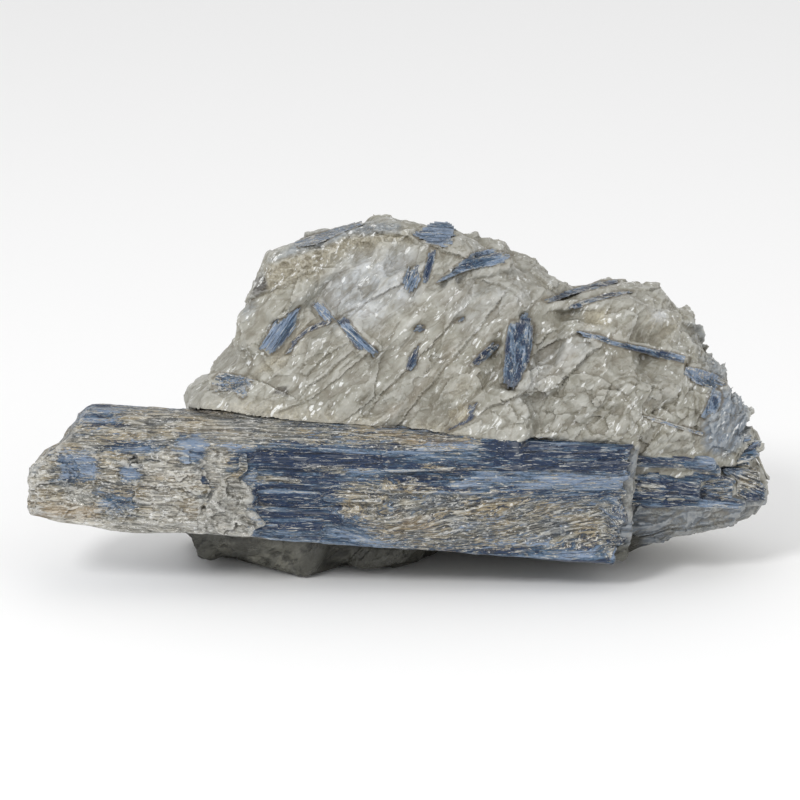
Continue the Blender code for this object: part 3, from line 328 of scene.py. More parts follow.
# Kyanite blades set flat in the quartz face: outline of (right, up), how far the blade stands out of the
# stone, how deep its blue is and how much mica clings to it.
SET_BLADES = {
    "left_blade": ([(-26.8, 25.2), (-28.9, 23.6), (-30.3, 23.0), (-30.6, 22.0), (-32.2, 21.7), (-33.5, 21.2),
        (-34.6, 19.8), (-35.4, 18.0), (-36.7, 15.8), (-38.1, 13.7), (-36.4, 12.9), (-35.6, 11.8),
        (-34.3, 12.1), (-33.5, 12.9), (-31.9, 13.9), (-30.8, 15.8), (-30.0, 16.6), (-28.9, 18.0),
        (-27.3, 20.6), (-27.1, 23.0)], 0.5, -0.6, 0.0),
    "diagonal_blade_upper": ([(-23.6, 25.2), (-22.0, 26.3), (-20.6, 26.0), (-19.0, 23.9), (-17.4, 21.7),
        (-19.0, 20.9), (-20.6, 21.2), (-22.5, 23.9)], 0.3, -0.35, 0.25),
    "diagonal_blade_lower": ([(-17.2, 21.4), (-15.8, 22.2), (-13.7, 21.7), (-11.5, 18.5), (-8.6, 15.5),
        (-6.4, 13.9), (-5.6, 12.6), (-7.0, 11.0), (-8.3, 12.9), (-9.9, 13.9), (-11.8, 13.9), (-13.4, 15.8),
        (-14.7, 18.0), (-16.3, 20.1)], 0.7, 0.15, 0.0),
    "rim_blade": ([(-30.8, 12.1), (-29.7, 14.7), (-27.3, 17.2), (-24.4, 19.8), (-20.9, 21.2), (-17.7, 22.0),
        (-17.7, 20.9), (-22.0, 19.3), (-25.2, 17.7), (-27.6, 15.5), (-29.5, 12.3)], 0.3, 0.6, 0.4),
    "top_blade_right": ([(8.0, 41.0), (9.9, 40.2), (9.6, 38.3), (8.6, 35.4), (7.8, 32.4), (5.6, 31.4),
        (6.2, 34.6), (7.2, 37.5)], 0.3, 0.25, 0.1),
    "top_blade_left": ([(1.9, 35.6), (4.8, 35.9), (5.9, 33.5), (5.1, 30.6), (3.2, 29.2), (1.1, 29.5),
        (0.3, 31.6), (1.3, 33.8)], 0.25, -0.05, 0.3),
    "crest_blade": ([(9.6, 31.1), (13.4, 35.1), (16.9, 37.5), (18.5, 39.1), (21.7, 40.2), (24.7, 40.7),
        (26.3, 39.9), (27.1, 40.2), (28.1, 39.1), (30.3, 38.9), (29.2, 37.8), (28.9, 37.0), (27.3, 36.4),
        (24.7, 35.9), (20.6, 35.4), (16.6, 34.0), (12.9, 32.4)], 0.9, 0.15, 0.1),
    "crest_patch_blade": ([(3.2, 44.5), (5.6, 46.4), (8.3, 48.0), (12.6, 48.0), (14.7, 45.8), (14.2, 42.6),
        (12.6, 40.5), (10.7, 41.3), (8.6, 41.5), (7.2, 42.9), (5.1, 43.1)], 0.4, -0.3, 0.0),
    "upper_rim_blade": ([(-27.3, 40.7), (-28.1, 42.3), (-24.4, 44.0), (-19.6, 45.3), (-15.8, 46.9),
        (-10.7, 48.0), (-10.2, 46.9), (-14.7, 45.3), (-19.0, 43.1), (-23.0, 41.5)], 0.4, 0.0, 0.45),
    "centre_blade": ([(29.5, 21.4), (31.9, 21.7), (33.2, 23.0), (35.1, 22.8), (35.9, 20.6), (35.6, 17.4),
        (35.4, 13.9), (34.6, 9.6), (33.2, 6.7), (31.4, 3.8), (29.2, 2.7), (27.9, 4.0), (27.6, 7.2),
        (27.9, 10.7), (28.1, 13.9), (28.7, 18.5)], 1.3, 0.45, 0.05),
    "thin_blade": ([(18.5, 9.4), (21.7, 12.9), (24.4, 15.3), (26.8, 15.8), (27.1, 14.7), (24.4, 11.8),
        (21.4, 9.6), (19.0, 8.3)], 0.4, 0.6, 0.3),
    "kinked_blade": ([(5.4, 15.3), (4.8, 12.9), (4.8, 11.0), (4.3, 8.8), (2.7, 7.8), (1.6, 8.0), (1.9, 10.7),
        (2.7, 12.6), (4.0, 13.9)], 0.45, 0.4, 0.15),
    "crystal_stub": ([(3.8, 19.0), (4.3, 20.1), (5.9, 20.4), (6.7, 19.6), (6.2, 18.2), (4.3, 18.0)], 0.4, 0.2,
        0.2),
    "tiny_blade": ([(14.2, 20.9), (15.8, 22.0), (17.4, 22.2), (17.2, 21.2), (15.3, 20.6)], 0.3, 0.6, 0.1),
    "crack_blade": ([(12.1, -8.3), (15.3, -6.7), (17.4, -5.4), (18.2, -4.6), (18.5, -1.1), (20.4, -0.8),
        (20.4, -3.5), (19.6, -5.1), (18.0, -6.2), (15.3, -7.5), (12.9, -8.8)], 0.1, 1.2, 0.0),
    "long_thin_blade": ([(47.7, 18.5), (50.1, 18.2), (54.1, 17.4), (57.9, 15.8), (61.9, 15.0), (67.0, 13.9),
        (72.6, 12.9), (78.0, 11.3), (77.5, 9.6), (74.2, 10.2), (69.7, 11.0), (65.4, 12.3), (60.8, 13.7),
        (56.3, 14.7), (52.3, 16.3), (48.2, 17.2)], 0.6, 0.2, 0.2),
    "upper_right_blade_outer": ([(37.8, 26.8), (41.5, 27.9), (45.0, 29.5), (49.6, 30.8), (54.1, 31.9),
        (57.9, 32.4), (58.7, 31.6), (54.7, 30.3), (50.1, 29.2), (47.2, 28.4), (44.0, 27.1), (39.9, 26.0)],
        0.3, 0.35, 0.3),
    "upper_right_blade_inner": ([(45.8, 24.1), (47.2, 26.3), (51.7, 27.6), (56.3, 28.9), (60.3, 29.5),
        (63.2, 29.2), (59.8, 28.1), (55.2, 27.1), (50.7, 25.7), (47.4, 24.4)], 0.4, 0.25, 0.4),
    "edge_blade_upper": ([(76.4, 9.1), (79.9, 8.6), (83.3, 7.5), (86.3, 6.2), (87.6, 4.3), (84.4, 3.2),
        (80.9, 3.8), (78.3, 4.8), (76.6, 6.7)], 0.3, -0.5, 0.3),
    "edge_blade_lower": ([(84.2, 3.2), (86.3, 2.4), (86.6, -0.3), (85.2, -2.7), (82.8, -4.3), (80.9, -5.6),
        (80.4, -4.6), (81.7, -2.4), (82.5, 0.3), (83.3, 2.4)], 0.35, -0.05, 0.2),
    "left_corner_blade": ([(-50.4, 5.9), (-48.2, 7.5), (-45.3, 7.0), (-42.1, 6.4), (-39.4, 5.4), (-40.5, 4.0),
        (-40.7, 1.3), (-42.3, 0.0), (-44.2, 1.9), (-46.9, 2.7), (-50.1, 1.9)], 0.3, -0.1, 0.5),
    "faint_blade": ([(64.9, -4.0), (68.1, -4.6), (73.2, -6.2), (78.3, -7.5), (81.7, -8.8), (80.9, -9.6),
        (76.4, -8.3), (71.3, -6.7), (67.0, -5.4)], 0.12, -0.6, 0.6)}
BROAD_LATH, NARROW_LATH = (12, 1.2, 9), (7, 0.5, 9)    # sizes of a set blade's lamellae, mm
BURIED = 2.2                   # how deep a set blade goes into the stone, mm
SIGHT_MISS = 60.0              # stone met this far from the upright plane isn't a set blade's bed, mm
BLADE_PULL = 5.0               # the most that the main blade is pulled back inside its left end, mm
BREAK_START = 52.0             # right of this the main blade's right end has broken back, mm
BREAK_DEPTH = -12.0            # and in front of this
FOLDS_START = 25.0             # right of this the laths in the schist bend down, mm
STRETCH = 3.0                  # a bundle's mesh is this much coarser along it than across it
MAIN_STRETCH = 2.6
BLADE_MELTING, MAIN_MELTING = 14, 16    # rounds of smoothing before a bundle and the main blade are split up
# Lamellae of a bundle: their size along it, across it and through it, and how far they lift, mm.
COARSE_LAMELLAE = ((9, 1.1, 1.0), 0.25)
FINE_LAMELLAE = ((5, 0.5, 0.5), 0.06)
MAIN_LAMELLAE = (((46, 4.2, 3), 0.26, 91), ((18, 1.5, 1.5), 0.18, 92), ((9, 0.6, 0.6), 0.07, 93))
TOOTH = 2.4                    # how long the broken teeth at the ends of a bundle are, mm
# Bundles and back blades, which keep their own solid's form: how deep the blue is, how much mica clings.
MAIN_BLADE_LOOK = (0.25, 0.0)
BACK_BLADES = {"back_blade_long": (0.25, 0.3), "back_blade_short": (0.2, 0.3), "back_blade_low": (0.1, 0.4)}
RIGHT_BLADES = {"right_blade": (0.5, -0.05), "right_end_blade": (0.4, 0.05), "spur_blades": (0.05, 0.35)}
PALE_SLOT = {"diagonal_blade_upper", "top_blade_left", "left_corner_blade", "edge_blade_upper", "faint_blade",
             "spur_blades"}


# ---------------------------------------------------------------- numbers

def cell_index(cells, seed):
    """A repeatable random place in the tables for each whole-number cell."""
    order = np.random.default_rng(seed).permutation(TABLE)
    index = order[cells[:, 0] % TABLE]
    index = order[(index + cells[:, 1]) % TABLE]
    return order[(index + cells[:, 2]) % TABLE]


def grain_axes(angle):
    """Axes of a grain that climbs to the right at this many degrees, as columns."""
    turn = math.radians(angle)
    return np.array(((math.cos(turn), 0, -math.sin(turn)), (0, 1, 0), (math.sin(turn), 0, math.cos(turn))))


def nearest_chips(points, size, axes, seed):
    """For each point: its chip's random traits, its offset from the chip's middle and how near an edge is."""
    placed = points @ axes / np.array(size)
    base = np.floor(placed).astype(int)
    rng = np.random.default_rng(seed)
    jitter = rng.uniform(0, 1, (TABLE, 3))
    traits = rng.uniform(-1, 1, (TABLE, 5))
    nearest = np.full(len(points), 9.0)
    second = np.full(len(points), 9.0)
    offset = np.zeros((len(points), 3))
    chosen = np.zeros(len(points), int)
    for step in np.ndindex(3, 3, 3):
        cell = base + np.array(step) - 1
        index = cell_index(cell, seed)
        away = placed - (cell + jitter[index])
        distance = np.sqrt((away ** 2).sum(axis=1))
        closer = distance < nearest
        second = np.where(closer, nearest, np.minimum(second, distance))
        nearest = np.where(closer, distance, nearest)
        offset[closer] = away[closer]
        chosen[closer] = index[closer]
    return traits[chosen], offset * np.array(size), second - nearest, nearest


def broken_flats(points, spec, axes):
    """How far broken flats stand out: every chip is one flat with its own lift and tilt."""
    size, lift, tilt, seed = spec
    traits, offset, _, _ = nearest_chips(points, size, axes, seed)
    return traits[:, 0] * lift + (offset * traits[:, 1:4] * np.array(tilt)).sum(axis=1)


def foliation(points, angle, spacing, warp, seed):
    """Wavy layers broken into terraces that run at this angle, from -0.5 to 1."""
    turn = math.radians(angle)
    across = points[:, 2] * math.cos(turn) - points[:, 0] * math.sin(turn)
    bend = warp * (rough_noise(points, (16, 9, 9), seed) + 0.3 * rough_noise(points, (5, 4, 3), seed + 4))
    phase = (across + bend) / spacing
    layer = np.floor(phase).astype(int)
    lifts = np.random.default_rng(seed).uniform(-0.5, 0.5, TABLE)
    return lifts[layer % TABLE] + 0.5 * (phase - layer) ** 2


def from_line(places, line):
    """Each (right, up) place's distance from the line, its side (1 is left of it) and its offset from it."""
    line = np.array(line)
    start, run = line[:-1], np.diff(line, axis=0)
    offset = places[:, None, :] - start
    along = np.clip((offset * run).sum(axis=2) / (run * run).sum(axis=1), 0, 1)
    away = offset - along[..., None] * run
    distance = np.linalg.norm(away, axis=2)
    nearest = distance.argmin(axis=1)
    rows = np.arange(len(places))
    turned = run[nearest, 0] * offset[rows, nearest, 1] - run[nearest, 1] * offset[rows, nearest, 0]
    return distance[rows, nearest], np.sign(turned), away[rows, nearest]


def pulled_inside(points, outline, most):
    """The points, with those that are seen up to `most` mm outside the outline moved onto its edge."""
    distance, side, away = from_line(seen_places(points), outline)
    back = away * ((side < 0) & (distance < most))[:, None]
    moved = points.copy()
    moved[:, 0] -= back[:, 0]
    moved -= back[:, 1:] * SIGHT_UP
    return moved


def in_space(right, up):
    """Where the place (right, up) lies in space, in millimetres."""
    return CAMERA_TARGET + np.array((right, 0, 0)) + up * SIGHT_UP


def first_met(solid, offset):
    """Where the line from the eye along this offset meets the solid's tree, in millimetres, or None."""
    place, *_ = solid.ray_cast(Vector(EYE * MM), Vector(offset))
    return None if place is None else np.array(place) / MM


def tucked_behind(points, node, area, depth):
    """The points, with those seen in the area moved back along the line of sight, this deep into the node."""
    solid = bmesh.new()
    solid.from_mesh(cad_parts[node].data)
    tree = BVHTree.FromBMesh(solid)
    solid.free()
    moved = points.copy()
    for index in np.flatnonzero(within(seen_places(points), area, 0.1) > 0.5):
        offset = points[index] - EYE
        place = first_met(tree, offset)
        if place is not None:
            deep = np.linalg.norm(place - EYE) + depth
            moved[index] = EYE + offset * max(1.0, deep / np.linalg.norm(offset))
    return moved


def raised_to_meet(points, stone, line):
    """The points, with those seen near the line brought forward to the stone's face just above the line."""
    line = np.array(line)
    rights = np.linspace(line[0, 0], line[-1, 0], LIP_SAMPLES)
    reaches = []
    for right in rights:
        up = np.interp(right, line[:, 0], line[:, 1]) + LIP_ABOVE
        place = first_met(stone, in_space(right, up) - EYE)
        reaches.append(CAMERA_DISTANCE if place is None else np.linalg.norm(place - EYE))
    window = 2 * LIP_BLUR + 1
    reaches = np.convolve(np.pad(reaches, LIP_BLUR, mode="edge"), np.ones(window) / window, mode="valid")
    places = seen_places(points)
    distance, _, _ = from_line(places, line)
    offset = points - EYE
    own = np.linalg.norm(offset, axis=1)
    lift = np.clip(own - np.interp(places[:, 0], rights, reaches) - LIP_SUNK, 0, LIP_MOST)
    ends = np.clip((places[:, 0] - rights[0]) / LIP_ENDS, 0, 1)
    ends *= np.clip((rights[-1] - places[:, 0]) / LIP_ENDS, 0, 1)
    share = ends * np.exp(-np.maximum(distance - LIP_FULL, 0) / LIP_REACH) * (points[:, 1] < LIP_BACK)
    return points - offset * (share * lift / own)[:, None]


def soft_noise(points, size, seed):
    """Smooth noise from -1 to 1 with bumps of this size."""
    placed = points / np.array(size)
    base = np.floor(placed).astype(int)
    share = placed - base
    share = share * share * (3 - 2 * share)
    values = np.random.default_rng(seed).uniform(-1, 1, TABLE)
    total = np.zeros(len(points))
    for corner in np.ndindex(2, 2, 2):
        corner = np.array(corner)
        weight = np.where(corner, share, 1 - share).prod(axis=1)
        total += weight * values[cell_index(base + corner, seed)]
    return total


def rough_noise(points, size, seed):
    """Soft noise with two finer layers on it."""
    size = np.array(size, float)
    return (soft_noise(points, size, seed) + 0.5 * soft_noise(points, size / 2.2, seed + 1)
            + 0.25 * soft_noise(points, size / 5, seed + 2)) / 1.4


def creases(points, size, seed):
    """Sharp wandering ridges with hollows between them, from -1 to 1."""
    coarse = 1 - 3 * np.abs(soft_noise(points, size, seed))
    fine = 1 - 3 * np.abs(soft_noise(points, np.array(size) / 2.3, seed + 1))
    return np.clip(coarse, -1, 1) * 0.7 + 0.3 * fine


def within(places, outline, soft):
    """1 well inside the outline, 0 outside it, with an edge this soft."""
    outline = np.array(outline)
    near = ((places > outline.min(axis=0) - soft) & (places < outline.max(axis=0) + soft)).all(axis=1)
    share = np.zeros(len(places))
    places = places[near]
    distance, _, _ = from_line(places, np.vstack([outline, outline[:1]]))
    ends = np.roll(outline, -1, axis=0)
    up = places[:, 1][:, None]
    crosses = (outline[:, 1] > up) != (ends[:, 1] > up)
    rise = np.where(ends[:, 1] == outline[:, 1], 1e-9, ends[:, 1] - outline[:, 1])
    meets = outline[:, 0] + (up - outline[:, 1]) * (ends[:, 0] - outline[:, 0]) / rise
    inside = (crosses & (places[:, 0][:, None] < meets)).sum(axis=1) % 2 == 1
    signed = np.where(inside, distance, -distance)
    share[near] = np.clip(0.5 + signed / (2 * soft), 0, 1)
    return share


def patches(places, listed):
    """The strongest of the listed patches at each place."""
    strongest = np.zeros(len(places))
    for outline, strength, soft in listed:
        strongest = np.maximum(strongest, strength * within(places, outline, soft))
    return strongest


# ---------------------------------------------------------------- meshes

def read_points(mesh):
    """The mesh's points in millimetres, and the normals at them."""
    count = len(mesh.vertices)
    points = np.empty(count * 3, np.float32)
    normals = np.empty(count * 3, np.float32)
    mesh.vertices.foreach_get("co", points)
    mesh.vertex_normals.foreach_get("vector", normals)
    return points.reshape(-1, 3).astype(float) / MM, normals.reshape(-1, 3).astype(float)


def write_points(mesh, points):
    """Move the mesh's points to these places, in millimetres."""
    mesh.vertices.foreach_set("co", (points * MM).astype(np.float32).ravel())
    mesh.update()


def seen_places(points):
    """Where points lie on the plane that faces the camera, as (right, up)."""
    offset = points - EYE
    depth = offset @ SIGHT
    return np.stack([offset[:, 0], offset @ SIGHT_UP], axis=1) * CAMERA_DISTANCE / depth[:, None]


def facing(normals):
    """1 where the surface faces the front, 0 where it faces away."""
    return np.clip(0.5 - 1.5 * (normals @ SIGHT), 0, 1)


def new_object(name, data):
    item = bpy.data.objects.new(name, data)
    bpy.context.scene.collection.objects.link(item)
    return item


def merge_into(mesh, sources):
    """Give the mesh all faces of the source meshes, with points that lie on each other merged."""
    bm = bmesh.new()
    for source in sources:
        bm.from_mesh(source)
    bmesh.ops.remove_doubles(bm, verts=bm.verts, dist=1e-6)
    bm.to_mesh(mesh)
    bm.free()


def filled_copy(node, others=()):
    """A new object with the CAD node's mesh, its gaps filled by other nodes, each moved by a matrix."""
    mesh = bpy.data.meshes.new(node)
    merge_into(mesh, [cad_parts[node].data])
    fillings = []
    for other, place in others:
        fillings.append(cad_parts[other].data.copy())
        fillings[-1].transform(place)
    if fillings:
        merge_into(mesh, [mesh, *fillings])
    for filling in fillings:
        bpy.data.meshes.remove(filling)
    return new_object("dressed_" + node, mesh)


def settle(item):
    """Swap the object's data for the mesh that its modifiers give."""
    graph = bpy.context.evaluated_depsgraph_get()
    mesh = bpy.data.meshes.new_from_object(item.evaluated_get(graph))
    item.modifiers.clear()
    item.data = mesh


def modify(item, kind, **settings):
    """Swap the object's data for the mesh that one modifier with these settings gives."""
    modifier = item.modifiers.new(kind.lower(), kind)
    for key, value in settings.items():
        setattr(modifier, key, value)
    settle(item)


def remesh(item, voxel, axes=NO_TURN, stretch=1.0):
    """Give the object an even mesh with voxels of this size, stretched along the first axis."""
    shape = Matrix.Diagonal((1 / stretch, 1, 1, 1)) @ Matrix(axes.T.tolist()).to_4x4()
    item.data.transform(shape)
    modify(item, "REMESH", mode="VOXEL", voxel_size=voxel * MM)
    item.data.transform(shape.inverted())
    item.data.update()


def thin_out(item, triangles):
    """Collapse the mesh to at most this many triangles, most of which stay where it is rough."""
    item.data.calc_loop_triangles()
    count = len(item.data.loop_triangles)
    if count > triangles:
        modify(item, "DECIMATE", ratio=triangles / count)


def store(mesh, name, values, kind="FLOAT"):
    """Keep a number or a vector for each point, which the materials read."""
    layer = mesh.attributes.new(name, kind, "POINT")
    layer.data.foreach_set("value" if kind == "FLOAT" else "vector", np.asarray(values, np.float32).ravel())


def smooth_over(item, rounds):
    """Melt the corners of the object's mesh."""
    modify(item, "SMOOTH", factor=0.5, iterations=rounds)


def store_hollows(mesh, rounds=2):
    """Store how far each point lies in a hollow (above 0) or on a ridge (below 0); the materials paint shade
    into hollows and highlights onto ridges from it.
    """
    points, normals = read_points(mesh)
    edges = np.empty(len(mesh.edges) * 2, np.int32)
    mesh.edges.foreach_get("vertices", edges)
    first, second = edges.reshape(-1, 2).T
    count = np.bincount(first, minlength=len(points)) + np.bincount(second, minlength=len(points))
    blurred = points.copy()
    for _ in range(rounds):
        total = [np.bincount(first, blurred[second, axis], len(points))
                 + np.bincount(second, blurred[first, axis], len(points)) for axis in range(3)]
        blurred = np.stack(total, axis=1) / np.maximum(count, 1)[:, None]
    depth = ((blurred - points) * normals).sum(axis=1)
    store(mesh, "hollow", np.clip(depth / HOLLOW, -1, 1))


def long_axes(points):
    """Axes of a blade as columns: along it, across its face and out towards the front."""
    _, _, rows = np.linalg.svd(points - points.mean(axis=0), full_matrices=False)
    return axes_along(rows[0] * (1 if rows[0][0] > 0 else -1))


def axes_along(direction):
    """Axes as columns: this direction, across the face that looks to the front, and out of that face."""
    along = direction / np.linalg.norm(direction)
    outward = -SIGHT - (-SIGHT @ along) * along
    outward /= np.linalg.norm(outward)
    return np.stack([along, np.cross(outward, along), outward], axis=1)


def finish_piece(item, material, slot, *nodes):
    """Give the piece its material and put it in the CAD nodes' place; the slot is not used."""
    item.data.materials.clear()
    item.data.materials.append(material)
    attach(item, "root")
    if nodes:
        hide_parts(*nodes)


# ---------------------------------------------------------------- shapes

def shifted(right, back, up):
    """A matrix that moves a solid by so many millimetres."""
    return Matrix.Translation((right * MM, back * MM, up * MM))


def seat_fillings():
    """The nodes that fill the seats in the quartz, each with the matrix that moves it into place."""
    fillings = [(node, shifted(*SEAT)) for node in SET_BLADES]
    fillings += [(node, shifted(*place)) for node, place in RIGHT_SEATS.items()]
    for down in RIGHT_BLADE_STEPS:
        fillings.append(("right_blade", shifted(-0.6 * down, 1.0 + 0.25 * down, -down)))
    slant = Matrix.Identity(4)
    slant[2][0] = MAIN_SEAT_RISE
    shorter = Matrix.Diagonal((MAIN_SEAT_LENGTH, 1, 1, 1))
    return [*fillings, ("main_blade", shifted(*MAIN_SEAT) @ slant @ shorter)]


def wavering_places(points, size, reach, seed):
    """The points' places, shifted by noise so that whatever is laid out on them has broken edges."""
    waver = np.stack([rough_noise(points, size, seed), rough_noise(points, size, seed + 3)], axis=1)
    return seen_places(points) + reach * waver


def broken_quartz(item, settings):
    """Break the quartz up along its grain, with ledges, smooth planes, cobbles and a rough rim."""
    points, _ = read_points(item.data)
    points = pulled_inside(points, QUARTZ_OUTLINE, QUARTZ_PULL)
    write_points(item.data, tucked_behind(points, "main_blade", MAIN_BLADE_AREA, BLADE_BED))
    points, normals = read_points(item.data)
    places = wavering_places(points, (4, 4, 4), 0.7, 61)
    front = facing(normals)
    axes = grain_axes(GRAIN_ANGLE)
    smooth = front * np.max([within(places, outline, 2.0) for outline in SMOOTH_PLANES], axis=0)
    cobbled = front * within(places, COBBLED, 3.0)
    rim = front * within(places, ROUGH_RIM, 1.5)
    bold = 1 + 1.2 * (1 - front)
    slabs = (1 - smooth) * (1 - 0.8 * cobbled)
    seen = seen_places(points)
    bedded = front * np.max([within(seen, outline, 1.0) for outline, *_ in SET_BLADES.values()], axis=0)
    hidden = within(seen, MAIN_BLADE_AREA, 0.8) * (points[:, 1] < BEHIND_BLADE)
    out = broken_flats(points, FACES, axes) * bold
    out += broken_flats(points, SLAB_CHIPS, axes) * slabs * bold
    out += broken_flats(points, CHIPS, axes) * (1 - 0.6 * smooth) * bold
    out += broken_flats(points, GRAINS, axes) * (1 + 0.8 * rim)
    traits, offset, _, middle = nearest_chips(points, COBBLE_SIZE, NO_TURN, 15)
    tipped = (offset * traits[:, 1:4]).sum(axis=1)
    out += cobbled * (0.5 * (0.45 - middle ** 2) + 0.12 * traits[:, 0] + 0.26 * tipped)
    out += rim * 0.45 * creases(points, (2.2, 2.2, 1.6), 17)
    out += within(places, KNOBBED, 2.0) * broken_flats(points, KNOBS, grain_axes(KNOB_ANGLE))
    out += 0.25 * rough_noise(points, (9, 9, 9), 18)
    for line, height, reach in LEDGES:
        distance, side, _ = from_line(places, line)
        out += front * 0.7 * height * np.where(side > 0, 1, -0.25) * np.exp(-distance / reach)
    ragged = front * within(places, RAGGED_SIDE, 2.0)
    fibres = 0.5 * foliation(points, SPLINTER_ANGLE, 2.4, 3.0, 21)
    out += ragged * (fibres + 0.5 * rough_noise(points, (3, 3, 3), 22))
    distance, _, _ = from_line(seen, CONTACT)
    out *= 1 - 0.8 * front * np.exp(-distance / 2.5)
    out = out * (1 - bedded) - 0.2 * bedded
    out *= np.clip(points[:, 2] / 1.2, 0, 1) * (1 - hidden)
    moved = points + normals * (out * settings.roughness)[:, None]
    lower = front * within(places, RAGGED_FOOT, 3.0)
    moved[:, 1] -= lower * (1.0 + 0.9 * foliation(points, 12, 1.7, 2.0, 19))
    write_points(item.data, moved)


def quartz_colours(item):
    """Store where the quartz is stained, cracked, bluish, dark or milky, where its lowest part is darker
    stone and painted shade, and the painted shade line round its set blades.
    """
    points, normals = read_points(item.data)
    front = facing(normals)
    places = wavering_places(points, (3, 3, 3), 0.8, 71)
    behind = 1 - front
    mottle = rough_noise(points, (14, 14, 14), 77)
    rear = {"tan": np.clip(mottle, 0, 0.5), "brown": np.clip(-mottle - 0.3, 0, 0.5), "blue": 0.2}
    for name, listed in QUARTZ_PATCHES.items():
        store(item.data, name, front * patches(places, listed) + behind * rear.get(name, 0.0))
    # Its lowest part is painted dark, partly for its smoky stone and partly as painted shade under the main
    # blade.
    under = np.clip((FOOT_TOP - points[:, 2]) / 4, 0, 1) * np.clip((FOOT_RIGHT - points[:, 0]) / 4, 0, 1)
    store(item.data, "foot_and_shade", under * np.clip((FOOT_BACK - points[:, 1]) / 14, 0.35, 1))
    crack_and_rim_shade = np.zeros(len(points))
    seen = seen_places(points)
    close = wavering_places(points, (2.5, 2.5, 2.5), 0.3, 79)
    for line, _, _ in LEDGES:
        distance, _, _ = from_line(close, line)
        crack_and_rim_shade = np.maximum(crack_and_rim_shade, 0.8 * np.clip(1 - distance / 0.5, 0, 1))
    # Round each set blade the line is painted shade where it meets the stone; along the ledges above they are
    # real cracks.
    for outline, *_ in SET_BLADES.values():
        distance, _, _ = from_line(seen, outline + outline[:1])
        crack_and_rim_shade = np.maximum(crack_and_rim_shade, np.clip(1.3 - distance / RIM_GAP, 0, 1))
    store(item.data, "crack_and_rim_shade", front * crack_and_rim_shade)
    store_hollows(item.data)


def closed_sheet(name, top, bottom, kept):
    """A mesh between two grids of points, closed round the edge of the cells whose four corners are kept."""
    columns = kept.shape[1]
    cells = np.pad(kept[:-1, :-1] & kept[1:, :-1] & kept[:-1, 1:] & kept[1:, 1:], 1)
    bm = bmesh.new()
    uppers = [bm.verts.new(place * MM) for place in top]
    lowers = [bm.verts.new(place * MM) for place in bottom]
    for row, column in np.argwhere(cells):
        start = (row - 1) * columns + column - 1
        ring = (start, start + columns, start + columns + 1, start + 1)
        bm.faces.new([uppers[index] for index in ring])
        bm.faces.new([lowers[index] for index in reversed(ring)])
        beside = ((row, column - 1), (row + 1, column), (row, column + 1), (row - 1, column))
        for here, there, cell in zip(ring, ring[1:] + ring[:1], beside):
            if not cells[cell]:
                bm.faces.new((uppers[there], uppers[here], lowers[here], lowers[there]))
    bmesh.ops.delete(bm, geom=[vert for vert in bm.verts if not vert.link_faces], context="VERTS")
    bmesh.ops.recalc_face_normals(bm, faces=bm.faces)
    mesh = bpy.data.meshes.new(name)
    bm.to_mesh(mesh)
    bm.free()
    return mesh


def finish_blade(item, axes, look, material, node):
    """Colour a blade in its look, how deep its blue is and how much mica clings, and put it in its place."""
    kyanite_attributes(item, axes, *look)
    finish_piece(item, material, "pale_kyanite" if node in PALE_SLOT else "kyanite", node)


def sights_to(places, stone):
    """Lines of sight to the places: their directions, how far the stone is, and whether it is met at all."""
    sights, spots, met = [], [], []
    for right, up in places:
        target = in_space(right, up)
        sights.append((target - EYE) / np.linalg.norm(target - EYE))
        place = first_met(stone, sights[-1])
        met.append(place is not None and np.linalg.norm(place - target) < SIGHT_MISS)
        spots.append(place if met[-1] else target)
    sights = np.array(sights)
    return sights, ((np.array(spots) - EYE) * sights).sum(axis=1), np.array(met)


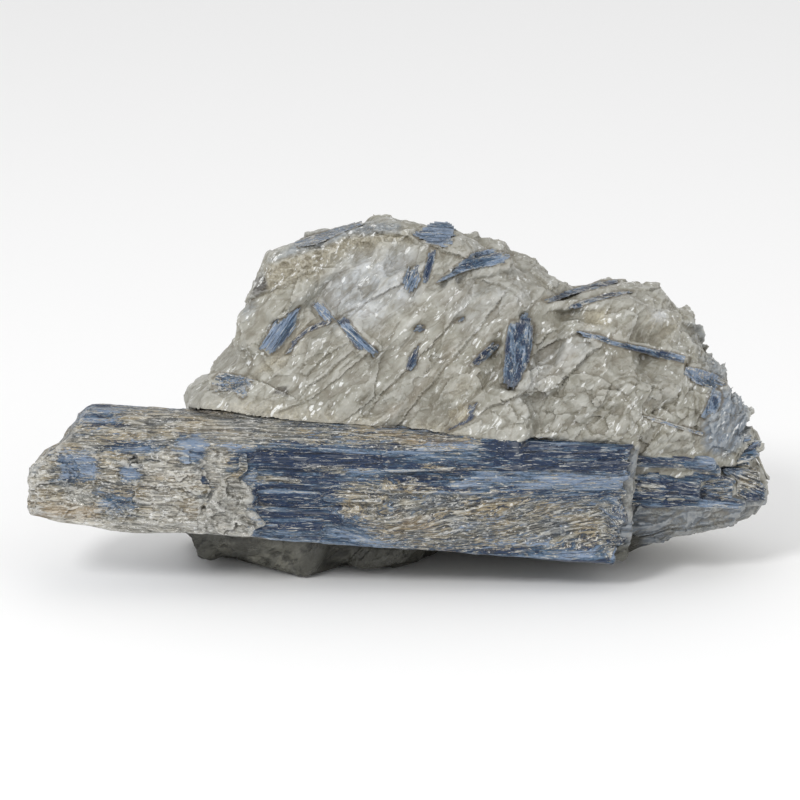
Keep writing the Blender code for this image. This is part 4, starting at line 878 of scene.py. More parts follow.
def inlaid_blade(node, spec, stone, material, settings, seed):
    """Add a blade set in the stone: its outline on the stone's face, raised in lamellae and closed behind."""
    outline, proud, *look = spec
    edge = np.array(outline)
    middle = edge.mean(axis=0)
    _, _, rows = np.linalg.svd(edge - middle, full_matrices=False)
    turn = rows * np.sign(rows[0][0])
    local = (edge - middle) @ turn.T
    low, high = local.min(axis=0) - 0.3, local.max(axis=0) + 0.3
    fine = settings.voxel * 1
    steps = np.ceil((high - low) / (fine * 1.8, fine * 0.7)).astype(int) + 1
    along, across = np.meshgrid(np.linspace(low[0], high[0], steps[0]),
                                np.linspace(low[1], high[1], steps[1]), indexing="ij")
    flat = np.stack([along.ravel(), across.ravel()], axis=1)
    grid = np.stack([flat[:, 0], flat[:, 1], np.full(len(flat), 7.0 * seed)], axis=1)
    broad, offset, gap, _ = nearest_chips(grid, BROAD_LATH, NO_TURN, 300 + seed)
    narrow, _, _, _ = nearest_chips(grid, NARROW_LATH, NO_TURN, 400 + seed)
    ragged = flat + np.stack([0.9 * broad[:, 1] + 0.6 * narrow[:, 1], 0.10 * broad[:, 2]], axis=1)
    inside = within(middle + ragged @ turn, outline, 0.2) > 0.5
    laid = middle + flat @ turn
    sights, own, met = sights_to(laid, stone)
    plane = np.stack([flat[:, 0], flat[:, 1], np.ones(len(flat))], axis=1)
    used = met & inside
    level = plane @ np.linalg.lstsq(plane[used], own[used], rcond=None)[0]
    reach = np.where(met & (np.abs(own - level) < 2.5), 0.3 * own + 0.7 * level, level)
    depth_in = np.clip(within(laid, outline, 1.2) * 2 - 1, 0, 1)
    relief = proud * (0.6 + 0.4 * depth_in ** 0.5) + 0.12 * broad[:, 0] + 0.04 * narrow[:, 0]
    relief += 0.25 * broad[:, 3] * offset[:, 1] - 0.06 * np.clip(1 - gap / 0.12, 0, 1)
    reach = reach - relief * settings.splintering
    reach = np.where(met, np.minimum(reach, own - 0.15), reach)
    top = EYE + sights * reach[:, None]
    bottom = EYE + sights * (level + BURIED)[:, None]
    mesh = closed_sheet("dressed_" + node, top, bottom, inside.reshape(steps))
    if len(mesh.polygons) == 0:
        raise RuntimeError("no blade was made for " + node)
    direction = np.array((turn[0][0], turn[0][1] * SIGHT_UP[1], turn[0][1] * SIGHT_UP[2]))
    finish_blade(new_object(mesh.name, mesh), axes_along(direction), look, material, node)


def dressed_stone(context):
    """The finished quartz as a tree that lines of sight can be tried against."""
    return BVHTree.FromObject(bpy.data.objects["dressed_quartz_matrix"], context.evaluated_depsgraph_get())


def lamellae(local, size, lift, deep, wide, seed):
    """How far lamellae stand out, with grooves this deep, as a share of their lift, and wide between them."""
    traits, _, gap, _ = nearest_chips(local, size, NO_TURN, seed)
    return traits[:, 0] * lift - deep * lift * np.clip(1 - gap / wide, 0, 1)


def splintered(item, axes, splintering, seed):
    """Split a blade's surface into lengthwise lamellae with broken, toothed ends."""
    points, normals = read_points(item.data)
    local = points @ axes
    facing_out = 1 - np.abs(normals @ axes[:, 0])
    size, lift = COARSE_LAMELLAE
    out = lamellae(local, size, lift * splintering, 0.6, 0.18, seed)
    out += lamellae(local, *FINE_LAMELLAE, 0.8, 0.2, seed + 1)
    out += 0.6 * rough_noise(points, (6, 4, 4), seed + 9)
    moved = points + normals * (out * facing_out)[:, None]
    low, high = local[:, 0].min(), local[:, 0].max()
    reach = min(3 * TOOTH, (high - low) / 3)
    traits, _, _, _ = nearest_chips(local, (60, 0.9, 0.9), NO_TURN, seed + 2)
    near_low = np.clip(1 - (local[:, 0] - low) / reach, 0, 1)
    near_high = np.clip(1 - (high - local[:, 0]) / reach, 0, 1)
    moved += axes[:, 0] * (TOOTH * (0.5 + 0.5 * traits[:, 1]) * (near_low - near_high))[:, None]
    write_points(item.data, moved)


def kyanite_attributes(item, axes, deep, cover):
    """Store the blade's own coordinates and how blue, mica-covered and stained it is."""
    points, normals = read_points(item.data)
    front = facing(normals)
    places = seen_places(points) + np.stack(
        [2.6 * rough_noise(points, (16, 3, 1.6), 85), 0.9 * rough_noise(points, (8, 2, 2), 88)], axis=1)
    bare = patches(places, BARE_FIELDS)
    blue = patches(places, DEEP_FIELDS) - patches(places, PALE_FIELDS) - 0.4 * bare
    lath = points @ axes
    waves = front * within(places, SCHIST, 4.0)
    lath[:, 1] += waves * (2.2 * rough_noise(points, (13, 7, 7), 83) - 0.2 * (points[:, 0] - FOLDS_START))
    store(item.data, "lath", lath, "FLOAT_VECTOR")
    store(item.data, "deep", deep + front * blue)
    store(item.data, "cover", cover + front * patches(places, MICA_FIELDS) * (1 - bare))
    store(item.data, "stain", front * patches(places, STAIN_FIELDS))
    store(item.data, "silver", front * patches(places, SILVER_FIELDS))
    store_hollows(item.data)


def splintered_blade(node, look, material, settings, seed):
    """One bundle or back blade, remeshed along its length and split into lamellae."""
    item = filled_copy(node)
    points, _ = read_points(item.data)
    axes = long_axes(points)
    remesh(item, settings.voxel, axes, STRETCH)
    smooth_over(item, BLADE_MELTING)
    splintered(item, axes, settings.splintering, 100 + seed)
    finish_blade(item, axes, look, material, node)
    return item


def shaped_main_blade(item, axes, settings, stone):
    """The main blade's lamellae, the layered bevel, the crusted left end and the wavy schist at its right."""
    points, normals = read_points(item.data)
    local = points @ axes
    places = wavering_places(points, (6, 4, 4), 0.8, 81)
    front = facing(normals)
    schist = front * within(places, SCHIST, 3.0)
    bevel = front * within(places, BEVEL, 1.5)
    crusted = front * within(places, CRUSTED_END, 4.0)
    side = 1 - np.abs(normals @ axes[:, 0])
    laths = sum(lamellae(local, size, lift, 0.5, 0.08, seed) for size, lift, seed in MAIN_LAMELLAE)
    folds = 0.3 * foliation(points, 20, 2.0, 3.0, 95) + 0.2 * foliation(points, 8, 0.8, 2.0, 96)
    folds += 0.16 * creases(points, (5, 3, 1.6), 51)
    layers = 0.75 * foliation(points, -2.5, 1.5, 0.7, 97) + 0.3 * foliation(points, -2.5, 0.6, 0.5, 98)
    crust = 0.2 * foliation(points, -5, 2.2, 2.6, 99)
    crust += broken_flats(points, CRUST_FLATS, grain_axes(SHEET_ANGLE))
    crust += 0.15 * creases(points, (7, 4, 2.6), 53)
    out = laths * (1 - schist) * (1 - bevel) * (1 - 0.8 * crusted)
    out += folds * schist + layers * bevel * (1 - 0.5 * crusted) + crust * crusted
    out += 0.35 * rough_noise(points, (14, 8, 8), 94) * (1 + crusted)
    moved = points + normals * (out * (0.3 + 0.7 * side) * settings.splintering)[:, None]
    level = (points[:, 2] > RIDGE_FOOT - 1) & (np.abs(points[:, 0] - RIDGE_LEFT) < 8)
    moved[:, 1] = np.where(level, np.maximum(moved[:, 1], MICA_BED + 0.3 * out), moved[:, 1])
    traits, _, _, _ = nearest_chips(points, (80, 5, 2.6), NO_TURN, 87)
    stubs, _, _, _ = nearest_chips(points, (80, 3, 0.9), NO_TURN, 86)
    near_end = np.clip((points[:, 0] - BREAK_START) / 10, 0, 1)
    near_end *= np.clip((BREAK_DEPTH - points[:, 1]) / 12, 0, 1)
    moved[:, 0] -= near_end * (1.4 + 1.6 * traits[:, 0] + 0.6 * stubs[:, 0])
    moved[:, 1] += near_end ** 1.5 * (1.5 + 0.8 * rough_noise(points, (3, 5, 3), 89))
    moved = pulled_inside(moved, LEFT_END, BLADE_PULL)
    write_points(item.data, moved + front[:, None] * (raised_to_meet(moved, stone, CONTACT) - moved))


def crumpled(points, normals, spec, silver):
    """How far each point of a mica sheet is moved out where it is crumpled."""
    axes = grain_axes(SHEET_ANGLE)
    out = broken_flats(points, spec, axes) + broken_flats(points, SCALES, axes)
    out += 0.25 * foliation(points, -5, 2.2, 2.6, MICA_SEED + 2)
    out += 0.3 * rough_noise(points, (9, 5, 5), MICA_SEED + 7)
    out += 0.2 * creases(points @ grain_axes(-12), (9, 4, 2.6), MICA_SEED + 12)
    if silver:
        out = np.maximum(out, -0.3) * (0.2 + 0.8 * facing(normals))
        out += 0.8 * np.clip((points[:, 0] - PLATE_EDGE) / 2.5, 0, 1)
    return out


def thinned_crust(points, moved):
    """The crust's moved points, with those behind its bed brought back to it around its edge."""
    raised = within(wavering_places(points, (4, 4, 4), 0.8, 45), CRUST_TOP, 1.6)
    depth = moved[:, 1]
    moved[:, 1] = np.where(depth < MICA_BED, MICA_BED + (depth - MICA_BED) * raised, depth)
    return moved


def ridged_plates(points, moved):
    """The silver plates' moved points, narrowed to a ridge at the top and run out to a tip at the right."""
    tall = np.clip((moved[:, 2] - RIDGE_FOOT) / 2, 0, 1)
    middle = RIDGE_MIDDLE + 0.8 * rough_noise(points, (9, 9, 3), MICA_SEED + 9)
    own_middle, share = RIDGE_NARROWING
    moved[:, 0] += tall * (middle + share * (moved[:, 0] - own_middle) - moved[:, 0])
    depth = moved[:, 1]
    moved[:, 1] = np.where(depth < MICA_BED, depth + tall * 0.7 * (MICA_BED - depth), depth)
    tip = np.clip(1 - np.abs(moved[:, 2] - PLATE_TIP) / 1.8, 0, 1)
    tip *= np.clip((moved[:, 0] - RIDGE_LEFT) / 4, 0, 1)
    moved[:, 0] += 1.5 * tip
    return pulled_inside(moved, PLATE_OUTLINE, PLATE_PULL)


# ---------------------------------------------------------------- materials

class Tree:
    """A node tree, with short calls that add a node and wire up its inputs."""

    def __init__(self, tree):
        self.tree = tree

    def add(self, kind, **settings):
        node = self.tree.nodes.new(kind)
        for key, value in settings.items():
            setattr(node, key, value)
        return node

    def wire(self, socket, value):
        """Link the input to another node's output, or else set it."""
        if isinstance(value, bpy.types.NodeSocket):
            self.tree.links.new(value, socket)
        else:
            socket.default_value = value

    def put(self, node, **values):
        """Wire up the node's inputs by name, with _ for a space."""
        for key, value in values.items():
            self.wire(node.inputs[key.replace("_", " ")], value)
        return node

    def sum(self, kind, *values):
        """What this operation makes of the values, taken from left to right."""
        total = values[0]
        for value in values[1:]:
            node = self.add("ShaderNodeMath", operation=kind)
            self.wire(node.inputs[0], total)
            self.wire(node.inputs[1], value)
            total = node.outputs[0]
        return total

    def plus(self, *values):
        return self.sum("ADD", *values)

    def times(self, *values):
        return self.sum("MULTIPLY", *values)

    def vectors(self, kind, *values, **named):
        """What this operation makes of one or two vectors."""
        node = self.add("ShaderNodeVectorMath", operation=kind)
        for socket, value in zip(node.inputs, values):
            self.wire(socket, value)
        return self.put(node, **named).outputs[0]


class Material(Tree):
    """A material's node tree, with the patterns and layers that it is painted with."""

    def __init__(self, name):
        self.material = bpy.data.materials.new(name)
        self.material.use_nodes = True
        super().__init__(self.material.node_tree)
        self.tree.nodes.clear()
        self.shader = self.add("ShaderNodeBsdfPrincipled")
        self.wire(self.add("ShaderNodeOutputMaterial").inputs[0], self.shader.outputs[0])

    def attribute(self, name, output="Fac"):
        return self.add("ShaderNodeAttribute", attribute_name=name).outputs[output]

    def scaled(self, vector, scale):
        return self.put(self.add("ShaderNodeMapping"), Vector=vector, Scale=scale).outputs[0]

    def grained(self, vector, angle, longer, deeper=1.0):
        """The vector on axes that climb at this angle, where patterns are this much longer and deeper."""
        mapping = self.add("ShaderNodeMapping", vector_type="TEXTURE")
        self.put(mapping, Vector=vector, Rotation=(0, -math.radians(angle), 0), Scale=(longer, deeper, 1))
        return mapping.outputs[0]

    def warped(self, vector, scale, amount):
        """The vector, shaken by noise so that straight patterns waver."""
        shake = self.put(self.add("ShaderNodeTexNoise"), Vector=vector, Scale=scale, Detail=3.0)
        return self.vectors("ADD", vector, self.vectors("SCALE", shake.outputs["Color"], Scale=amount))

    def noise(self, vector, scale, detail, roughness, distortion=0.0):
        node = self.add("ShaderNodeTexNoise")
        self.put(node, Vector=vector, Scale=scale, Detail=detail, Roughness=roughness, Distortion=distortion)
        return node.outputs["Fac"]

    def cells(self, vector, scale, feature="F1", output="Color"):
        node = self.put(self.add("ShaderNodeTexVoronoi", feature=feature), Vector=vector, Scale=scale)
        return node.outputs[output]

    def rims(self, vector, scale):
        """How far the edge of the nearest cell is."""
        return self.cells(vector, scale, "DISTANCE_TO_EDGE", "Distance")

    def between(self, value, low, high, first=0.0, last=1.0):
        node = self.add("ShaderNodeMapRange")
        self.put(node, Value=value, From_Min=low, From_Max=high, To_Min=first, To_Max=last)
        return node.outputs[0]

    def frayed(self, name, noise, less, more, low=0.3, high=0.7):
        """The stored share, lowered and raised by noise so that its edge is broken up."""
        return self.plus(self.attribute(name), self.between(noise, low, high, less, more))

    def blend(self, share, first, second):
        node = self.add("ShaderNodeMix", data_type="RGBA")
        self.wire(node.inputs[0], share)
        for socket, value in ((node.inputs[6], first), (node.inputs[7], second)):
            self.wire(socket, value if isinstance(value, bpy.types.NodeSocket) else (*value, 1.0))
        return node.outputs[2]

    def layered(self, colour, *layers):
        """The colour under layers: each a share, or a value, its range and the most share, then a colour."""
        for *share, paint in layers:
            if len(share) > 1:
                value, low, high, most = share
                share = [self.between(value, low, high, 0, most)]
            colour = self.blend(share[0], colour, paint)
        return colour

    def faceted(self, cell_colour, amount):
        """The surface's normal, tipped another way on each cell."""
        offset = self.vectors("SUBTRACT", cell_colour, (0.5, 0.5, 0.5))
        normal = self.add("ShaderNodeNewGeometry").outputs["Normal"]
        tipped = self.vectors("ADD", normal, self.vectors("SCALE", offset, Scale=amount))
        return self.vectors("NORMALIZE", tipped)

    def bump(self, height, strength, normal):
        """The normal, with relief this strong on it."""
        node = self.put(self.add("ShaderNodeBump"), Height=height, Distance=BUMP_HEIGHT, Strength=strength)
        return self.put(node, Normal=normal).outputs[0]


def quartz_material(settings):
    """Milky broken quartz: tipped facets, dark seams, painted glints and ridge highlights, painted shade in
    hollows and round set blades, a lowest part of darker stone under painted shade, and tan, brown, blue and
    dark patches.
    """
    made = Material("broken_quartz")
    place = made.add("ShaderNodeTexCoord").outputs["Object"]
    grain = made.warped(made.grained(place, GRAIN_ANGLE, 2.8, 1.6), 300, 0.0025)
    steep = made.grained(place, STEEP_ANGLE, 3.0, 1.5)
    slabs, facets, small = made.cells(grain, 210), made.cells(grain, 520), made.cells(steep, 1600)
    cloud = made.noise(place, 50, 4, 0.6)
    veil = made.noise(grain, 420, 5, 0.65, 0.4)
    fine = made.noise(place, 1700, 5, 0.8)
    milk = made.times(made.attribute("milk"), made.between(veil, 0.3, 0.6))
    colour = made.layered(
        (0.215, 0.207, 0.168), (cloud, 0.36, 0.64, 1, settings.colour),
        (slabs, 0.45, 0.6, 0.3, (0.42, 0.42, 0.385)), (facets, 0.42, 0.36, 0.3, (0.20, 0.185, 0.145)),
        (veil, 0.50, 0.80, 0.5, (0.54, 0.545, 0.52)), (veil, 0.48, 0.30, 0.4, (0.195, 0.18, 0.143)),
        (fine, 0.56, 0.72, 0.3, (0.60, 0.60, 0.57)), (fine, 0.45, 0.30, 0.3, (0.19, 0.175, 0.14)),
        (milk, (0.52, 0.54, 0.56)))
    tan = made.between(made.frayed("tan", fine, -0.35, 0.25), 0.1, 0.7)
    cream = made.plus(fine, made.between(made.attribute("tan"), 0.9, 1.3, 0, 0.3))
    tan_colour = made.layered((0.15, 0.125, 0.08), (cream, 0.38, 0.62, 1, (0.46, 0.425, 0.325)))
    blue = made.between(made.frayed("blue", fine, -0.25, 0.25), 0.1, 0.8)
    blue_colour = made.layered((0.105, 0.145, 0.205), (veil, 0.40, 0.60, 1, (0.26, 0.30, 0.345)))
    schist = made.between(made.frayed("schist", veil, -0.3, 0.3), 0.3, 0.7)
    schist_colour = made.layered((0.075, 0.083, 0.09), (fine, 0.38, 0.6, 1, (0.235, 0.24, 0.225)),
                                 (cloud, 0.44, 0.54, 0.75, (0.105, 0.13, 0.165)))
    seam = made.times(made.between(made.rims(grain, 210), 0.05, 0.01), made.between(cloud, 0.40, 0.50))
    fissure = made.times(made.between(made.rims(grain, 520), 0.06, 0.01), made.between(cloud, 0.52, 0.44))
    dark = made.between(made.frayed("dark", fine, -0.3, 0.2, 0, 1), 0.15, 0.6)
    # Painted highlights: bright streaks on some facets and sparkle in small cells stand in for glints.
    lit = made.times(made.between(facets, 0.60, 0.66), made.between(cloud, 0.46, 0.54, 0.2, 1))
    streaks = made.between(made.noise(steep, 1300, 3, 0.6, 0.4), 0.57, 0.61)
    sparkle = made.times(made.between(small, 0.80, 0.83), made.between(veil, 0.53, 0.57))
    painted_glint = made.sum("MAXIMUM", made.times(lit, streaks), sparkle)
    painted_glint = made.times(painted_glint, made.between(schist, 0.0, 0.5, 1.0, 0.1))
    hollow = made.attribute("hollow")
    # The lowest part's colour: darker stone with painted shade, and deeper painted shade in its hollows.
    foot_and_shade = made.between(made.frayed("foot_and_shade", cloud, -0.2, 0.1), 0.1, 0.7)
    foot_and_shade_colour = made.layered(
        (0.037, 0.036, 0.027), (fine, 0.45, 0.7, 1, (0.09, 0.088, 0.07)), (milk, (0.21, 0.205, 0.168)),
        (slabs, 0.5, 0.65, 0.5, (0.10, 0.10, 0.085)), (hollow, 0.15, 0.9, 0.7, (0.015, 0.015, 0.012)))
    # These layers paint shade into hollows and highlights onto ridges, painted glints, the painted shade line
    # round set blades with the real cracks, and the shade of the lowest part.
    colour = made.layered(
        colour, (made.times(tan, 0.8), tan_colour),
        (made.times(made.attribute("brown"), 0.75), (0.235, 0.205, 0.155)),
        (made.times(blue, 0.8), blue_colour), (schist, schist_colour),
        (made.times(made.sum("MAXIMUM", seam, fissure), 0.4), (0.13, 0.11, 0.075)),
        (made.times(dark, 0.9), (0.055, 0.05, 0.045)), (made.times(painted_glint, 0.75), (0.84, 0.85, 0.84)),
        (hollow, 0.2, 1.0, 0.4, (0.13, 0.11, 0.075)), (hollow, -0.2, -0.9, 0.2, (0.66, 0.66, 0.63)),
        (made.frayed("crack_and_rim_shade", fine, -0.3, 0.2), 0.35, 0.8, 0.75, (0.11, 0.09, 0.06)), (foot_and_shade, foot_and_shade_colour))
    tips = made.blend(0.35, made.blend(0.5, slabs, facets), small)
    height = made.plus(made.times(veil, 0.4), made.times(fine, 0.4))
    normal = made.bump(height, 0.6, made.faceted(tips, 0.62))
    made.put(made.shader, Base_Color=colour, Normal=normal, IOR=1.54,
             Roughness=made.between(facets, 0.2, 0.8, 0.22, 0.55), Subsurface_Weight=0.1,
             Subsurface_Radius=(1.0, 0.9, 0.75), Subsurface_Scale=0.001)
    return made.material


def blue_lamellae(made, settings, lath, speck):
    """Colours of bare kyanite: laths of deep to pale blue with silver and dark hairlines."""
    laths = made.cells(made.warped(made.scaled(lath, (0.024, 0.8, 0.8)), 0.5, 0.4), 1.0)
    broad = made.noise(made.scaled(lath, (0.07, 0.42, 0.42)), 1.0, 5, 0.65, 0.8)
    thin = made.noise(made.scaled(lath, (0.15, 2.3, 2.3)), 1.0, 5, 0.7, 0.4)
    hair = made.noise(made.scaled(lath, (0.26, 3.9, 3.9)), 1.0, 4, 0.7, 0.3)
    depth = made.plus(
        made.frayed("deep", broad, -0.65, 0.65, 0.33, 0.67), made.between(laths, 0.3, 0.7, -0.5, 0.5),
        made.between(thin, 0.35, 0.65, -0.4, 0.4), made.between(speck, 0.35, 0.65, -0.45, 0.45))
    silver = made.plus(thin, made.times(hair, 0.8), made.between(broad, 0.35, 0.65, 0.06, -0.06))
    colour = made.layered(
        settings.pale, (depth, -0.5, 0.2, 1, settings.middle), (depth, 0.15, 0.7, 1, settings.deep),
        (silver, 1.0, 1.04, 0.85, (0.50, 0.505, 0.48)), (silver, 0.815, 0.76, 0.8, (0.012, 0.016, 0.024)))
    return colour, thin, hair


def flaky_mica(made, settings, lath, speck, hair):
    """Colours of mica: grey-tan, with dark lines along it, silver flakes, browner patches, painted highlights
    along its folds and painted glints.
    """
    sheets = made.noise(made.scaled(lath, (0.22, 1.0, 1.0)), 1.0, 6, 0.72, 1.3)
    lines = made.noise(made.scaled(lath, (0.035, 3.0, 3.0)), 1.0, 3, 0.6, 0.2)
    drift = made.noise(made.scaled(lath, (0.10, 0.25, 0.25)), 1.0, 4, 0.6, 0.5)
    crumpled = made.warped(made.scaled(lath, (0.2, 0.62, 0.62)), 1.0, 0.7)
    flakes = made.cells(crumpled, 1.0)
    full = made.between(made.attribute("cover"), 0.85, 1.25)
    silver = made.attribute("silver")

    def where(value, low, high, thin, thick):
        """The share of a layer that comes in between low and high, where the mica is thin and thick."""
        return made.times(made.between(value, low, high), made.between(full, 0, 1, thin, thick))

    # A painted highlight along the sheets' creases; the bright specks below are painted glints.
    painted_fold_highlight = made.between(made.sum("ABSOLUTE", made.sum("SUBTRACT", sheets, 0.52), 0.0), 0.016, 0.006)
    painted_fold_highlight = made.times(painted_fold_highlight, made.sum("MAXIMUM", silver, made.between(full, 0, 1, 0, 0.4)))
    plate = made.layered((0.18, 0.18, 0.162), (sheets, 0.42, 0.58, 1, (0.44, 0.425, 0.375)))
    painted_glint = made.plus(speck, made.times(made.between(flakes, 0.45, 0.55), full, 0.035))
    colour = made.layered(
        settings.shade, (sheets, 0.38, 0.60, 1, settings.colour), (made.times(full, 0.6), (0.53, 0.5, 0.41)),
        (drift, 0.48, 0.58, 0.7, (0.40, 0.31, 0.165)), (drift, 0.46, 0.37, 0.6, (0.12, 0.155, 0.20)),
        (sheets, 0.55, 0.60, 0.6, (0.56, 0.53, 0.455)),
        (where(flakes, 0.50, 0.60, 0.08, 0.7), (0.62, 0.59, 0.51)),
        (where(sheets, 0.47, 0.40, 0, 0.6), (0.12, 0.098, 0.062)),
        (where(flakes, 0.42, 0.34, 0.15, 0.5), (0.24, 0.195, 0.125)),
        (where(made.rims(crumpled, 1.0), 0.08, 0.02, 0.1, 0.55), (0.06, 0.054, 0.045)),
        (where(hair, 0.45, 0.37, 0.6, 0.5), (0.055, 0.052, 0.045)),
        (where(lines, 0.48, 0.445, 0.9, 0.35), (0.03, 0.034, 0.04)),
        (where(lines, 0.54, 0.58, 0.2, 0.65), (0.68, 0.65, 0.57)),
        (made.times(silver, 0.75), plate), (made.times(painted_fold_highlight, 0.85), (0.84, 0.835, 0.80)),
        (painted_glint, 0.57, 0.60, 0.85, (0.86, 0.86, 0.84)), (speck, 0.43, 0.36, 0.3, (0.09, 0.09, 0.09)))
    return colour, sheets, flakes


def lamellar_material(name, kyanite, mica, fraying, thin_fraying, start, tipping):
    """Lengthwise kyanite under more or less mica, with orange stains, painted shade in its hollows, painted
    highlights on its ridges and tipped flakes.

    The mica's edge is frayed by its sheets and by the thin laths. It covers the blue from `start`, and where
    it is thick its flakes are tipped by `tipping`.
    """
    made = Material(name)
    lath = made.attribute("lath", "Vector")
    speck = made.noise(made.scaled(lath, (0.6, 1.5, 1.5)), 1.4, 6, 0.78)
    blue, thin, hair = blue_lamellae(made, kyanite, lath, speck)
    flakes, sheets, tips = flaky_mica(made, mica, lath, speck, hair)
    cover = made.plus(made.frayed("cover", sheets, -fraying, fraying),
                      made.between(thin, 0.3, 0.7, -thin_fraying, thin_fraying),
                      made.between(speck, 0.35, 0.65, -0.2, 0.2))
    cover = made.between(cover, start, start + 0.2)
    stain = made.plus(made.frayed("stain", speck, -0.25, 0.25), made.between(thin, 0.3, 0.7, -0.3, 0.3))
    # Hollows are painted with shade, and ridges where mica covers them with a painted highlight.
    hollow = made.attribute("hollow")
    edge = made.times(made.between(hollow, -0.2, -0.8, 0, 0.6), made.between(cover, 0, 1, 0.2, 1.0))
    colour = made.layered(
        blue, (made.times(cover, 0.94), flakes), (stain, 0.25, 0.8, 0.55, (0.34, 0.235, 0.12)),
        (hollow, 0.2, 1.0, 0.6, (0.035, 0.032, 0.027)), (edge, (0.64, 0.635, 0.60)))
    cells = made.cells(made.scaled(lath, (0.6, 1.3, 1.3)), 1.0)
    normal = made.faceted(made.blend(0.7, cells, tips), made.between(cover, 0, 1, 0.14, tipping))
    height = made.plus(made.times(thin, 0.6), made.times(hair, 0.5), made.times(speck, 0.4))
    made.put(made.shader, Base_Color=colour, Normal=made.bump(height, 0.9, normal), IOR=1.5,
             Metallic=made.times(cover, made.between(made.attribute("silver"), 0, 1, 0.2, 0.7)),
             Roughness=made.between(cells, 0.2, 0.8, 0.22, 0.5))
    return made.material


# ---------------------------------------------------------------- what repeats

def scatter_tree():
    """Small flat plates strewn over the faces where the "flaky" attribute is high."""
    group = bpy.data.node_groups.new("strewn_plates", "GeometryNodeTree")
    for name, kind in (("Geometry", "Geometry"), ("Density", "Float"), ("Plate Size", "Float"),
                       ("Plate Length", "Float"), ("Tilt", "Float"), ("Along", "Vector"), ("Seed", "Int"),
                       ("Material", "Material")):
        group.interface.new_socket(name, in_out="INPUT", socket_type="NodeSocket" + kind)
    group.interface.new_socket("Geometry", in_out="OUTPUT", socket_type="NodeSocketGeometry")
    made = Tree(group)
    given = made.add("NodeGroupInput").outputs
    seed = given["Seed"]

    def corner(x, y, z):
        return made.put(made.add("ShaderNodeCombineXYZ"), X=x, Y=y, Z=z).outputs[0]

    def anything_between(low, high):
        node = made.add("FunctionNodeRandomValue", data_type="FLOAT_VECTOR")
        return made.put(node, Min=low, Max=high, Seed=seed).outputs[0]

    flaky = made.put(made.add("GeometryNodeInputNamedAttribute", data_type="FLOAT"), Name="flaky")
    density = made.times(flaky.outputs["Attribute"], given["Density"])
    strewn = made.put(made.add("GeometryNodeDistributePointsOnFaces"), Mesh=given["Geometry"],
                      Density=density, Seed=seed).outputs
    plate = made.put(made.add("GeometryNodeMeshCylinder"), Vertices=7, Radius=1.0, Depth=0.16)
    lean = corner(given["Tilt"], given["Tilt"], given["Tilt"])
    turned = anything_between(made.vectors("SCALE", lean, Scale=-1.0), lean)
    sides = [[made.times(given[name], share) for name in ("Plate Length", "Plate Size", "Plate Size")]
             for share in SMALLEST_AND_LARGEST]
    aligned = made.put(made.add("FunctionNodeAlignRotationToVector", axis="X", pivot_axis="Z"),
                       Rotation=strewn["Rotation"], Vector=given["Along"])
    tipped = made.put(made.add("FunctionNodeRotateRotation", rotation_space="LOCAL"),
                      Rotation=aligned.outputs[0], Rotate_By=turned)
    placed = made.put(made.add("GeometryNodeInstanceOnPoints"), Points=strewn["Points"],
                      Instance=plate.outputs["Mesh"], Rotation=tipped.outputs[0],
                      Scale=anything_between(*(corner(*lengths) for lengths in sides)))
    real = made.put(made.add("GeometryNodeRealizeInstances"), Geometry=placed.outputs[0])
    dressed = made.put(made.add("GeometryNodeSetMaterial"), Geometry=real.outputs[0],
                       Material=given["Material"])
    made.wire(made.add("NodeGroupOutput").inputs[0], dressed.outputs[0])
    return group


def strewn_plates(name, item, flaky, material, slot, along, **values):
    """Add a piece of small plates, strewn over the item where `flaky` is high, with their length this way."""
    store(item.data, "flaky", flaky)
    plates = new_object(name, item.data.copy())
    group = bpy.data.node_groups.get("strewn_plates") or scatter_tree()
    modifier = plates.modifiers.new("plates", "NODES")
    modifier.node_group = group
    sockets = {socket.name: socket.identifier for socket in group.interface.items_tree
               if socket.in_out == "INPUT"}
    values.update(Along=tuple(float(part) for part in along), Material=material, Plate_Size=PLATE_SIZE)
    for key, value in values.items():
        modifier[sockets[key.replace("_", " ")]] = value
    settle(plates)
    if not plates.data.vertices:
        raise RuntimeError("no plates were strewn on " + item.name)
    finish_piece(plates, material, slot)


# ---------------------------------------------------------------- settings

def amount(name, description, default, low=0.0, high=None, **more):
    limits = {"min": low} if high is None else {"min": low, "max": high}
    return FloatProperty(name=name, description=description, default=default, **limits, **more)


def tint(name, description, default):
    return FloatVectorProperty(name=name, description=description, default=default, subtype="COLOR", min=0.0,
                               max=1.0)


class QuartzSettings(bpy.types.PropertyGroup):
    """Sizes and colours of the quartz mass."""
    voxel: amount("Mesh Size", "Size of the even mesh that is broken up, mm", 0.5, 0.3, 3.0)
    roughness: amount("Brokenness", "How far its broken flats stand out", 1.0, 0.0, 2.0)
    triangles: IntProperty(name="Triangles", description="Most triangles that the quartz keeps",
                           default=190000, min=1000)
    flakes: amount("Flakes", "Loose flakes on a square metre where they lie thickest", 150000.0)
    colour: tint("Colour", "Colour of its paler parts", (0.29, 0.281, 0.233))


class KyaniteSettings(bpy.types.PropertyGroup):
    """Sizes and colours of the kyanite blades."""
    splintering: amount("Splintering", "How far the lamellae stand out", 1.0, 0.0, 2.0)
    voxel: amount("Mesh Size", "Size of the mesh across a blade, mm", 0.34, 0.2, 2.0)
    triangles: IntProperty(name="Triangles", description="Most triangles that the main blade keeps",
                           default=180000, min=1000)
    needles: amount("Needles", "Needles on a square metre of the spur", 220000.0)
    pale: tint("Pale", "Colour of the palest lamellae", (0.19, 0.255, 0.365))
    middle: tint("Middle", "Colour of most lamellae", (0.048, 0.098, 0.160))
    deep: tint("Deep", "Colour of the deepest lamellae", (0.004, 0.021, 0.066))


